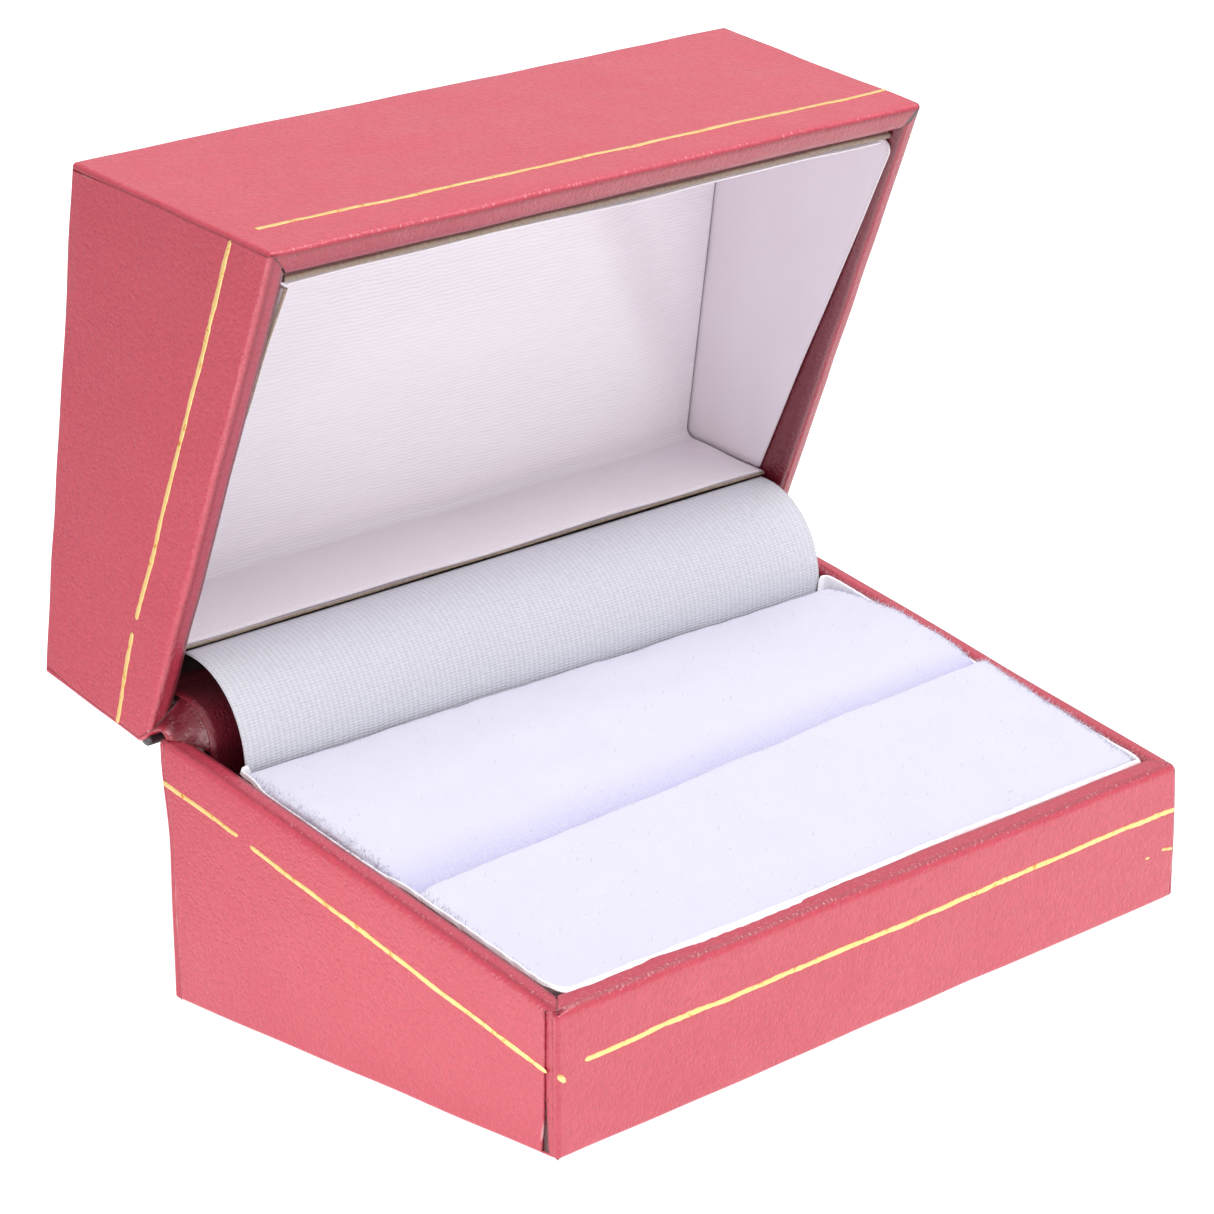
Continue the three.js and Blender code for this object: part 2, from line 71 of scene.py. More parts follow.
# %% Sizes
def box_mm(node):
    """Lowest and highest corner of a CAD node, in millimetres."""
    low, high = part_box(node)
    return np.array(low) / MM, np.array(high) / MM


def node_points(node):
    """All corners of a CAD node's mesh, in millimetres."""
    mesh = frame["nodes"][node].data
    flat = np.empty(len(mesh.vertices) * 3)
    mesh.vertices.foreach_get("co", flat)
    return flat.reshape(-1, 3) / MM


HINGE = frame["joints"][0]
PIVOT = np.array(HINGE["pos_m"][1:]) / MM
OPEN = math.radians(HINGE["range_deg"][1])


def swing(points, angle):
    """Turn points about the hinge line, which runs along X, by an angle seen from +X."""
    out = np.array(points, float)
    y, z = out[..., 1] - PIVOT[0], out[..., 2] - PIVOT[1]
    out[..., 1] = PIVOT[0] + y * math.cos(angle) - z * math.sin(angle)
    out[..., 2] = PIVOT[1] + y * math.sin(angle) + z * math.cos(angle)
    return out


def opened(points):
    return swing(points, -OPEN)


def shut_box(node):
    """Lowest and highest corner of a lid node once the lid is swung shut."""
    points = swing(node_points(node), OPEN)
    return points.min(0), points.max(0)


front_low, front_high = box_mm("base_front_wrap")
back_low, back_high = box_mm("base_back_wrap")
HALF_W, WALL = front_high[0], front_high[1] - front_low[1]
FRONT_Y, BACK_Y, BACK_H = front_low[1], back_high[1], back_high[2]
SLOPE = (back_high[2] - front_high[2]) / (back_high[1] - front_high[1])
BACK_WALL = back_high[1] - back_low[1]
LID_FRONT_Y = shut_box("lid_front_wrap")[0][1]
LID_TOP = shut_box("lid_top_sheet")[1][2]
FRONT = {"base": FRONT_Y, "lid": LID_FRONT_Y}


def rim(y):
    """Height of the base's slanting rim: it falls in a straight line from back to front."""
    return BACK_H - SLOPE * (BACK_Y - y)


LID_GAP = shut_box("lid_front_wrap")[0][2] - rim(LID_FRONT_Y)
print("half width", HALF_W, "front", FRONT_Y, "slit_painted_shade", round(SLOPE, 4), "lid gap", round(LID_GAP, 2))

# %% [markdown]
# ## The camera, the table and the light
# A long lens at three-quarter height, level with the open lid, so that walls stay nearly parallel. One
# large soft lamp hangs high in front on the right, and a weak low one stands on the left, whose light
# fades up the lid's side. The table is a grey plane whose emission, painted light, makes it glow white
# under a white sky and fills its contact shadows. Its glow falls from white to grey to the left and
# behind, so it isn't plain: less light reaches the lid's left wall.

# %% Camera
scene = bpy.context.scene
scene.view_settings.view_transform = "Standard"
EYE = Vector((-0.275180, -0.265290, 0.159197))
RIGHT = Vector((0.705807, -0.708376, -0.006351))
UP = Vector((0.227026, 0.217692, 0.949247))
FORWARD = Vector((0.671041, 0.671427, -0.314468))
camera_data = bpy.data.cameras.new("Camera")
camera_data.lens, camera_data.sensor_width = 135.5, 36
camera_data.shift_x, camera_data.shift_y = 0.00115, -0.00132
camera_data.clip_start, camera_data.clip_end = 0.01, 20
camera = bpy.data.objects.new("Camera", camera_data)
turn = Matrix((RIGHT, UP, -FORWARD)).transposed()
camera.matrix_world = Matrix.Translation(EYE) @ turn.to_4x4()
scene.collection.objects.link(camera)
scene.camera = camera

# %% Table and light
SKY, TABLE, GLOW = 0.7, 0.4, 1.05


def area_light(name, place, size, power, colour=(1, 1, 1)):
    """A square lamp that faces the middle of the box."""
    data = bpy.data.lights.new(name, "AREA")
    data.size, data.energy, data.color = size, power, colour
    lamp = bpy.data.objects.new(name, data)
    lamp.location = place
    aim = Vector((0, 0, 0.03)) - lamp.location
    lamp.rotation_euler = aim.to_track_quat("-Z", "Y").to_euler()
    scene.collection.objects.link(lamp)
    return lamp


area_light("Window_Light", (0.28, -0.34, 1.1), 0.6, 12.0)
low_light = area_light("Low_Light", (-0.12, -0.005, 0.005), 0.06, 0.05)
low_light.visible_camera = False
world = bpy.data.worlds.new("Sky")
scene.world = world
world.use_nodes = True
world.node_tree.nodes["Background"].inputs["Color"].default_value = (1, 1, 1, 1)
world.node_tree.nodes["Background"].inputs["Strength"].default_value = SKY

# %% [markdown]
# ## How a finish is built
# Every finish is a Principled shader whose colour and bump come from noise in Object coordinates, or
# from the piece's own UV map where threads follow the cloth. Values that are the same all over the
# surface are typed on the shader's own sockets. A small class keeps the wiring short to read.

# %% Finish helper
class Finish:
    """A material under construction: nodes are added by name, and lengths are given in millimetres."""

    def __init__(self, name, **sockets):
        self.material = bpy.data.materials.new(name)
        self.material.use_nodes = True
        self.tree = self.material.node_tree
        self.shader = self.tree.nodes["Principled BSDF"]
        self.place = self.tree.nodes.new("ShaderNodeTexCoord")
        for socket, value in sockets.items():
            self.shader.inputs[socket.replace("_", " ").title().replace("Ior", "IOR")].default_value = value

    def add(self, kind, inputs=None, **settings):
        node = self.tree.nodes.new("ShaderNode" + kind)
        for key, value in settings.items():
            setattr(node, key, value)
        for key, value in (inputs or {}).items():
            if isinstance(value, bpy.types.NodeSocket):
                self.tree.links.new(value, node.inputs[key])
            else:
                node.inputs[key].default_value = value
        return node

    def noise(self, size, detail, vector=None):
        """Noise whose blots are about `size` millimetres across, from 0 to 1."""
        node = self.add("TexNoise", {"Vector": vector or self.place.outputs["Object"],
                                     "Scale": 1 / (size * MM), "Detail": detail})
        return node.outputs["Fac"]

    def cells(self, size):
        """Distance to the nearest of points scattered about `size` millimetres apart."""
        node = self.add("TexVoronoi", {"Vector": self.place.outputs["Object"], "Scale": 1 / (size * MM)})
        return node.outputs["Distance"]

    def math(self, operation, a, b):
        return self.add("Math", {0: a, 1: b}, operation=operation).outputs[0]

    def spread(self, value, low, high, out_low=0.0, out_high=1.0):
        """Stretch a value from low..high to out_low..out_high."""
        node = self.add("MapRange", {"Value": value, "From Min": low, "From Max": high,
                                     "To Min": out_low, "To Max": out_high})
        return node.outputs[0]

    def mix(self, factor, a, b):
        """Mix two colours, each a socket or a tuple."""
        node = self.add("Mix", data_type="RGBA")
        for index, value in ((0, factor), (6, a), (7, b)):
            if isinstance(value, bpy.types.NodeSocket):
                self.tree.links.new(value, node.inputs[index])
            else:
                node.inputs[index].default_value = value
        return node.outputs[2]

    def attribute(self, name):
        return self.add("Attribute", attribute_name=name).outputs["Fac"]

    def uv(self):
        return self.place.outputs["UV"]

    def patchy(self, size, detail, low, high):
        """A value that drifts from patch to patch between low and high."""
        return self.spread(self.noise(size, detail), 0.3, 0.7, low, high)

    def bump(self, height, depth, strength, under=None):
        """Bump of `depth` millimetres between height 0 and 1."""
        inputs = {"Height": height, "Distance": depth * MM, "Strength": strength}
        if under is not None:
            inputs["Normal"] = under
        return self.add("Bump", inputs).outputs[0]

    def finish(self, colour=None, roughness=None, normal=None):
        for socket, value in (("Base Color", colour), ("Roughness", roughness), ("Normal", normal)):
            if value is not None:
                self.tree.links.new(value, self.shader.inputs[socket])
        return self.material


def rgb(red, green, blue):
    """A colour of the screen, 0 to 255, as the linear light that a shader takes."""
    screen = np.array([red, green, blue]) / 255
    linear = np.where(screen < 0.04045, screen / 12.92, ((screen + 0.055) / 1.055) ** 2.4)
    return (*linear.tolist(), 1.0)

# %% [markdown]
# ## Leatherette
# Coated paper pressed with a very fine grain. The grain is two sizes of cells under a low noise, only
# hundredths of a millimetre deep. Soft mottling in the colour is what hands leave on a coated paper.
# The attribute `wear` bares the pale paper on cut edges, and a second attribute paints shade into the
# colour: in folds, creases, seams and gaps, on the rims and in the hollow of the hinge.

# %% Leatherette
def leatherette(name):
    f = Finish(name, roughness=0.5, specular_ior_level=0.6, sheen_weight=0.1, sheen_roughness=0.4,
               coat_weight=0.45, coat_roughness=0.38)
    f.shader.inputs["Sheen Tint"].default_value = rgb(255, 190, 195)
    mottle = f.noise(7, 4)
    fine = f.noise(0.45, 2)
    ground = f.mix(mottle, rgb(191, 54, 75), rgb(203, 66, 87))
    ground = f.mix(f.spread(fine, 0.3, 0.7), ground, rgb(186, 50, 72))
    # An attribute paints shade into the colour: towards dark red, and above 0.82 towards a deeper red.
    shade = f.attribute("shade")
    with_painted_shade = f.mix(shade, ground, rgb(104, 10, 32))
    deep = f.mix(f.spread(shade, 0.82, 1.0), with_painted_shade, rgb(64, 4, 18))
    worn = f.mix(f.attribute("wear"), deep, rgb(246, 214, 216))
    cells = f.spread(f.cells(0.42), 0.0, 0.5)
    height = f.math("ADD", cells, f.math("MULTIPLY", f.noise(0.7, 3), 1.3))
    grain = f.bump(height, 0.058, 1.0)
    swell = f.bump(f.noise(5.5, 2), 0.16, 0.6, grain)
    return f.finish(worn, f.patchy(3.0, 3, 0.32, 0.44), swell)


LEATHER = leatherette("Red_Leatherette")

# %% [markdown]
# ## Card, board and paper
# The board is grey and only shows where the wraps stop short. The flaps of the liner are white coated
# card whose cut edge shows its grey-brown middle, with a soft edge where the knife went through.

# %% Card and board
def greyboard(name):
    f = Finish(name, roughness=0.9, specular_ior_level=0.25)
    ground = f.mix(f.noise(1.6, 5), rgb(92, 80, 76), rgb(138, 124, 116))
    specks = f.spread(f.cells(0.8), 0.0, 0.12)
    return f.finish(f.mix(specks, rgb(60, 46, 44), ground), None, f.bump(f.noise(0.25, 4), 0.05, 0.7))


def liner_card(name):
    f = Finish(name, roughness=0.7, specular_ior_level=0.3)
    white = f.mix(f.noise(6, 3), rgb(224, 213, 222), rgb(231, 222, 229))
    cut = f.mix(f.noise(0.35, 4), rgb(112, 92, 80), rgb(182, 164, 148))
    ground = f.mix(f.attribute("cut_edge"), white, cut)
    return f.finish(ground, f.patchy(0.5, 2, 0.62, 0.78), f.bump(f.noise(0.12, 3), 0.012, 0.6))


BOARD = greyboard("Grey_Board")
CARD = liner_card("White_Faced_Card")

# %% [markdown]
# ## Satin, velvet, foam, gold and steel
# The lid's satin is close-ribbed, so its bump is a wave across the piece's own UV map, broken by noise.
# The curtain over the hinge is a coarser plain weave. Velvet is a bright diffuse cloth with strong sheen
# and a pile of tiny cells. The tooling is foil, a rough metal with worn places. The hinge is dull steel.

# %% Satin
def ribbed_satin(name, pitch, depth, tint_low, tint_high):
    """Ribs along U: a triangle wave of `pitch` millimetres across V, drifted by noise."""
    f = Finish(name, roughness=0.42, specular_ior_level=0.35, sheen_weight=0.35, sheen_roughness=0.35)
    f.shader.inputs["Sheen Tint"].default_value = rgb(255, 250, 255)
    split = f.add("SeparateXYZ", {0: f.uv()})
    drift = f.math("MULTIPLY", f.noise(2.5, 3), 0.0006)
    across = f.math("DIVIDE", f.math("ADD", split.outputs[1], drift), pitch * MM)
    rib = f.math("PINGPONG", across, 0.5)
    rib = f.math("MULTIPLY", rib, 2.0)
    stretched = f.add("Mapping", {"Vector": f.uv(), "Scale": (0.08, 1.0, 1.0)}).outputs[0]
    streak = f.noise(0.35, 3, stretched)
    colour = f.mix(f.math("MULTIPLY", f.math("ADD", rib, streak), 0.5), tint_low, tint_high)
    height = f.math("ADD", rib, f.math("MULTIPLY", streak, 0.9))
    return f.finish(colour, f.spread(streak, 0.3, 0.7, 0.36, 0.5), f.bump(height, depth, 0.8))


def curtain_satin(name):
    """A coarse plain weave: warp and weft waves multiplied, each thread a little uneven."""
    f = Finish(name, roughness=0.4, specular_ior_level=0.4, sheen_weight=0.3, sheen_roughness=0.35)
    f.shader.inputs["Sheen Tint"].default_value = rgb(250, 250, 255)
    split = f.add("SeparateXYZ", {0: f.uv()})
    drift = f.math("MULTIPLY", f.noise(2.4, 3), 0.0003)
    along = f.math("PINGPONG", f.math("DIVIDE", f.math("ADD", split.outputs[0], drift), 0.6 * MM), 0.5)
    across = f.math("PINGPONG", f.math("DIVIDE", f.math("ADD", split.outputs[1], drift), 0.27 * MM), 0.5)
    weave = f.math("ADD", f.math("MULTIPLY", along, 1.1), f.math("MULTIPLY", across, 1.3))
    stretched = f.add("Mapping", {"Vector": f.uv(), "Scale": (0.3, 1.0, 1.0)}).outputs[0]
    dash = f.spread(f.noise(0.22, 2, stretched), 0.35, 0.65)
    height = f.math("ADD", weave, f.math("MULTIPLY", dash, 0.35))
    colour = f.mix(f.spread(height, 0.2, 1.4), rgb(184, 184, 194), rgb(212, 212, 220))
    return f.finish(colour, None, f.bump(height, 0.045, 0.8))


LID_SATIN = ribbed_satin("Ribbed_Satin", 0.36, 0.03, rgb(228, 219, 226), rgb(243, 237, 242))
EDGE_SATIN = ribbed_satin("Edging_Satin", 0.33, 0.022, rgb(228, 224, 230), rgb(246, 244, 248))
CURTAIN = curtain_satin("Curtain_Satin")

# %% Velvet, foam, gold and steel
def velvet(name):
    f = Finish(name, roughness=0.95, specular_ior_level=0.1, sheen_weight=0.55, sheen_roughness=0.45)
    f.shader.inputs["Sheen Tint"].default_value = rgb(238, 236, 255)
    pile = f.noise(0.22, 4)
    brushed = f.noise(5, 3)
    ground = f.mix(brushed, rgb(200, 199, 213), rgb(207, 206, 218))
    # Painted shade: an attribute darkens the velvet towards lavender where the rear half slopes into the
    # slit.
    ground = f.mix(f.attribute("shade"), ground, rgb(184, 182, 216))
    colour = f.mix(f.spread(pile, 0.3, 0.6), rgb(200, 199, 214), ground)
    height = f.math("ADD", pile, f.math("MULTIPLY", f.noise(1.3, 3), 0.8))
    return f.finish(colour, None, f.bump(height, 0.02, 0.6))


def foam(name):
    f = Finish(name, roughness=1.0, specular_ior_level=0.1)
    cells = f.spread(f.cells(0.5), 0.0, 0.5)
    return f.finish(f.mix(cells, rgb(196, 190, 176), rgb(238, 234, 222)), None, f.bump(cells, 0.15, 0.9))


def gold_foil(name):
    f = Finish(name, roughness=0.34, metallic=0.75, specular_ior_level=0.5)
    worn = f.spread(f.noise(0.8, 4), 0.28, 0.42)
    bright = f.mix(f.noise(2.0, 2), rgb(250, 202, 118), rgb(255, 228, 164))
    colour = f.mix(worn, rgb(226, 150, 60), bright)
    return f.finish(colour, f.patchy(0.3, 3, 0.28, 0.5), f.bump(f.noise(0.2, 3), 0.01, 0.7))


def hinge_steel(name):
    f = Finish(name, roughness=0.5, metallic=0.5, specular_ior_level=0.4)
    stain = f.spread(f.noise(2.5, 5), 0.4, 0.65)
    colour = f.mix(stain, rgb(84, 80, 84), rgb(52, 42, 42))
    return f.finish(colour, f.patchy(0.6, 3, 0.3, 0.55), f.bump(f.noise(0.1, 2), 0.01, 0.5))


VELVET = velvet("White_Velvet")
FOAM = foam("Foam")
GOLD = gold_foil("Gold_Foil")
STEEL = hinge_steel("Dull_Steel")

# %% Table
# The table's emission is painted light: it glows though it is no lamp, white near the box and grey to the
# left and behind.
table_finish = Finish("Glowing_Table", roughness=0.9, specular_ior_level=0.1)
table_finish.shader.inputs["Base Color"].default_value = (TABLE, TABLE, TABLE, 1)
table_finish.shader.inputs["Emission Strength"].default_value = GLOW
apart = table_finish.add("SeparateXYZ", {0: table_finish.place.outputs["Object"]})
leftward = table_finish.math("MULTIPLY", apart.outputs[0], -0.798)
backward = table_finish.math("MULTIPLY", apart.outputs[1], 0.602)
aside = table_finish.spread(table_finish.math("ADD", leftward, backward), 0.068, 0.095)
glow = table_finish.mix(aside, (1, 1, 1, 1), (0.28, 0.28, 0.28, 1))
table_finish.tree.links.new(glow, table_finish.shader.inputs["Emission Color"])
SIDE, BELOW = 3.0, -0.0001
table_mesh = bpy.data.meshes.new("Table")
corners = [(-SIDE, -SIDE, BELOW), (SIDE, -SIDE, BELOW), (SIDE, SIDE, BELOW), (-SIDE, SIDE, BELOW)]
table_mesh.from_pydata(corners, [], [(0, 1, 2, 3)])
table_mesh.materials.append(table_finish.material)
table = bpy.data.objects.new("Table", table_mesh)
scene.collection.objects.link(table)

# %% [markdown]
# ## From a grid of points to a piece
# Every new piece is one or more grids of points. `make_piece` joins them, welds the rows that meet,
# turns all faces away from a point inside the piece, and hangs the piece on its body of the frame.

# %% Grid helpers
def smooth(x):
    """The smooth step 3x^2 - 2x^3 between 0 and 1."""
    x = np.clip(x, 0, 1)
    return x * x * (3 - 2 * x)


def waves(points, shortest, longest, seed, count=9):
    """A soft random field from -1 to 1: sines along seeded directions, added and evened out."""
    chance = np.random.default_rng(seed)
    total = np.zeros(points.shape[:-1])
    for _ in range(count):
        length = shortest * (longest / shortest) ** chance.random()
        way = chance.normal(size=3)
        way *= 2 * np.pi / (length * np.linalg.norm(way))
        total += np.sin(points @ way + 2 * np.pi * chance.random())
    return total / math.sqrt(count)


WALL_UNEVEN = 0.045
WALL_SEED = {"base": 5, "lid": 17}


def unevenness(points, size, seed, shortest=7, longest=28):
    """Hand-made unevenness: each coordinate is pushed by its own soft random field."""
    pushes = [waves(points, shortest, longest, seed + 31 * axis) for axis in range(3)]
    return size * np.stack(pushes, -1)


def grid_faces(rows, columns):
    """Four-sided faces between neighbouring rows and columns of a grid."""
    index = np.arange(rows * columns).reshape(rows, columns)
    return np.stack([index[:-1, :-1], index[:-1, 1:], index[1:, 1:], index[1:, :-1]], -1).reshape(-1, 4)


WELD = 0.004


def make_piece(name, grids, finish, body, inside=None, close=False):
    """One object from grids: each a dict of `points` and, where needed, `uv` and point attributes."""
    points, faces, uvs, extra, start = [], [], [], {}, 0
    names = sorted({key for grid in grids for key in grid} - {"points", "uv"})
    for grid in grids:
        rows, columns = grid["points"].shape[:2]
        points.append(grid["points"].reshape(-1, 3))
        faces.append(grid_faces(rows, columns) + start)
        if "uv" in grid:
            uvs.append(grid["uv"].reshape(-1, 2))
        else:
            v, u = np.meshgrid(np.arange(rows), np.arange(columns), indexing="ij")
            uvs.append(np.stack([u, v], -1).reshape(-1, 2) * MM)
        for key in names:
            value = grid.get(key, 0.0) * np.ones((rows, columns))
            extra.setdefault(key, []).append(value.reshape(-1))
        start += rows * columns
    points, faces, uvs = np.concatenate(points), np.concatenate(faces), np.concatenate(uvs)
    corner = points[faces]
    middle = points.mean(0) if inside is None else np.asarray(inside, float)
    normals = np.cross(corner[:, 2] - corner[:, 0], corner[:, 3] - corner[:, 1])
    if ((corner.mean(1) - middle) * normals).sum() < 0:
        faces = faces[:, ::-1]
    mesh = bpy.data.meshes.new(name)
    mesh.from_pydata((points * MM).tolist(), [], faces.tolist())
    layer = mesh.uv_layers.new(name="UVMap")
    loops = np.empty(len(mesh.loops), int)
    mesh.loops.foreach_get("vertex_index", loops)
    layer.data.foreach_set("uv", uvs[loops].ravel())
    for key in names:
        field = mesh.attributes.new(key, "FLOAT", "POINT")
        field.data.foreach_set("value", np.concatenate(extra[key]))
    work = bmesh.new()
    work.from_mesh(mesh)
    bmesh.ops.remove_doubles(work, verts=work.verts, dist=WELD * MM)
    bmesh.ops.dissolve_degenerate(work, dist=WELD * MM * 0.5, edges=work.edges)
    if close:
        bmesh.ops.holes_fill(work, edges=[e for e in work.edges if e.is_boundary], sides=0)
        bmesh.ops.recalc_face_normals(work, faces=work.faces)
    for face in work.faces:
        face.smooth = True
    work.to_mesh(mesh)
    work.free()
    mesh.materials.append(finish)
    piece = bpy.data.objects.new(name, mesh)
    scene.collection.objects.link(piece)
    if body:
        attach(piece, body)
    print(f"{name}: {len(mesh.polygons)} faces")
    return piece


def carried_sheet(x, y, z):
    """A line in depth and height carried along X.

    Returns the grid of points, its UV in metres (width, way along the line), and the way gone."""
    gone = np.concatenate([[0], np.cumsum(np.hypot(np.diff(y), np.diff(z)))])
    gx, gy = np.meshgrid(x, y)
    gz, way = (np.repeat(row[:, None], len(x), 1) for row in (z, gone))
    return np.stack([gx, gy, gz], -1), np.stack([gx, way], -1) * MM, gone


def thicken(piece, thickness, offset=-1.0):
    """Give a sheet its thickness, inwards from the visible side."""
    wall = piece.modifiers.new("Thickness", "SOLIDIFY")
    wall.thickness, wall.offset = thickness * MM, offset
    return piece

# %% [markdown]
# ## Leatherette folded round the walls
# A real wall is board with a strip of leatherette glued round it: up the inside, over the rim, down the
# outside and a little way under. So each wrap is one profile, carried along one side of the box.
# Corners follow the maker's order: one strip turns round the corner and the next stops on top of it,
# a little short of the edge, which leaves thin seams; their darkness is painted shade.

# %% The profile across a wall
RIM_ROUND, FOOT_ROUND, CORNER = 0.7, 0.35, 0.42
TURN_IN, TURN_UNDER, SHEET = 5.0, 1.9, 0.25
INSIDE_ROWS, RIM_ROW, OUTER_EDGE_ROW = 6, 13, 19


def wall_profile(wall, step):
    """Rows across a wall: inset from the outer face, share of the rim's height, and height beside it.

    The rows run up the inside, round a quarter circle, over the rim, round a quarter circle, down the
    outer face and round a quarter circle under the foot. `step` is how far the rim drops where the
    turned-in end of another strip lies under it."""
    quarter = np.linspace(0, np.pi / 2, 7)
    inset = [np.full(INSIDE_ROWS, wall), wall - RIM_ROUND + RIM_ROUND * np.cos(quarter),
             np.linspace(wall - RIM_ROUND, RIM_ROUND, 9)[1:-1],
             RIM_ROUND - RIM_ROUND * np.sin(quarter), np.zeros(16),
             FOOT_ROUND * (1 - np.cos(quarter)), np.linspace(FOOT_ROUND, TURN_UNDER, 4)[1:]]
    share = [np.ones(INSIDE_ROWS), np.ones(7), np.ones(7), np.ones(7), np.linspace(1, 0, 18)[1:-1],
             np.zeros(7), np.zeros(3)]
    beside = [-np.linspace(TURN_IN, RIM_ROUND, 7)[:-1], RIM_ROUND * np.sin(quarter) - RIM_ROUND,
              np.zeros(7), RIM_ROUND * np.cos(quarter) - RIM_ROUND, np.zeros(16),
              FOOT_ROUND * (1 - np.sin(quarter)), np.zeros(3)]
    inset, share, beside = (np.concatenate(part) for part in (inset, share, beside))
    face = (share < 1) & (share > 0)
    beside = np.where(face, -RIM_ROUND * share + FOOT_ROUND * (1 - share), beside)
    crown = 0.05 * np.sin(np.pi * np.clip(inset / wall, 0, 1)) * (share == 1)
    drop = step * smooth((inset - 1.45) / 0.18) * (share == 1)
    outer = smooth((RIM_ROUND * 0.55 - inset) / (RIM_ROUND * 0.5)) * (np.arange(len(inset)) > OUTER_EDGE_ROW)
    return inset, share, beside + crown - drop, outer

# %% [markdown]
# The back walls are pushed outward near the hinge by the folds of leatherette that are stuffed in
# there: the base's at its upper back corner, and the lid's all the way down to its rim.

# %% Flare of the back walls
def flare(half, y, z):
    """How far a point of a wall is pushed to the back, by its depth and its height in the shut box."""
    if half == "base":
        return 0.75 * smooth((y - 17) / 6.5) * smooth((z - 14) / 9)
    return 1.5 * smooth((y - 13) / 11) * np.clip((LID_TOP - z) / 13.5, 0, 1) * smooth((z - 24.1) / 1.9)

# %% Walking round the corners
SIDES = {"front": ((-1, -1), (1, 0), (0, 1)), "right": ((1, -1), (0, 1), (-1, 0)),
         "back": ((1, 1), (-1, 0), (0, -1)), "left": ((-1, 1), (0, -1), (1, 0))}
MITRE = CORNER * (1 - np.pi / 4)
DENSE = np.linspace(0, 6, 49)   # close columns near each corner, in millimetres from it
UNDER_MORE = 1.6                # how far a strip runs on below the one that covers it
TUCK = 0.2                      # how deep it is pushed in there
NO_CUT = 9.0                    # stands for "no cut edge near"
SHELF, SHELF_HALF = 1.15, 37.3  # the base's back wall is lower between its ends, under the cover strip
# How much painted shade darkens the rim tops; the lid's rims get more.
RIM_PAINTED_SHADE = {"base": 0.24, "lid": 0.42}
MITRE_DEEP = 1.9                # how far in the lid's front right mitre stands open


def round_corner(s, inset, tuck):
    """Along and inward distances near a corner, for a way s measured along the wall from it.

    Straight along the wall, then a quarter circle of radius CORNER less the inset, and then on along
    the next wall, pushed in by `tuck` so that the next strip can lie on top."""
    angle = np.clip((CORNER - s) / CORNER, 0, np.pi / 2)
    radius = np.maximum(CORNER - inset, 0)
    beyond = np.maximum(CORNER - s - CORNER * np.pi / 2, 0)
    centre = np.maximum(CORNER, inset)
    along = np.where(angle > 0, centre - radius * np.sin(angle), np.maximum(s, inset))
    inward = np.where(angle > 0, centre - radius * np.cos(angle), inset) + beyond
    return along + tuck * smooth(beyond / 0.35), inward


def wall_way(side, s, inset, front_y, tuck=TUCK):
    """Points in plan on the outline of the box, a distance s from the side's first corner."""
    (cx, cy), (ax, ay), (ix, iy) = SIDES[side]
    length = 2 * HALF_W if ax else BACK_Y - front_y
    near = round_corner(s, inset, tuck)
    far = round_corner(length - s, inset, tuck)
    first = s < length / 2
    along = np.where(first, near[0], length - far[0])
    inward = np.where(first, near[1], far[1])
    x = cx * HALF_W + ax * along + ix * inward
    y = (front_y if cy < 0 else BACK_Y) + ay * along + iy * inward
    return x, y, along


def seam(reach, foot):
    """Distance from the corner to the edge of the strip on top, which draws back near the foot."""
    return reach * (0.9 + 0.12 * foot) + 0.25 * smooth((foot - 0.75) / 0.25)


def side_ends(end, outer, foot):
    """How far a strip starts beyond its mitre: before the corner if it lies over, past it if under."""
    kind, reach = end
    if kind == "over":
        return outer * (seam(reach, foot) - MITRE)
    return -outer * (reach + UNDER_MORE + CORNER * np.pi / 4)


def seam_shade(end, beyond, foot):
    """Painted shade where an under strip runs in below the one on top, wider towards the foot."""
    kind, reach = end
    if kind == "over":
        return 0 * beyond
    dark = 0.1 + 0.75 * foot ** 4 * (reach > 1)
    return 0.1 * smooth(beyond / 0.3) + 0.9 * smooth((beyond - seam(reach, foot) + dark) / 0.12)

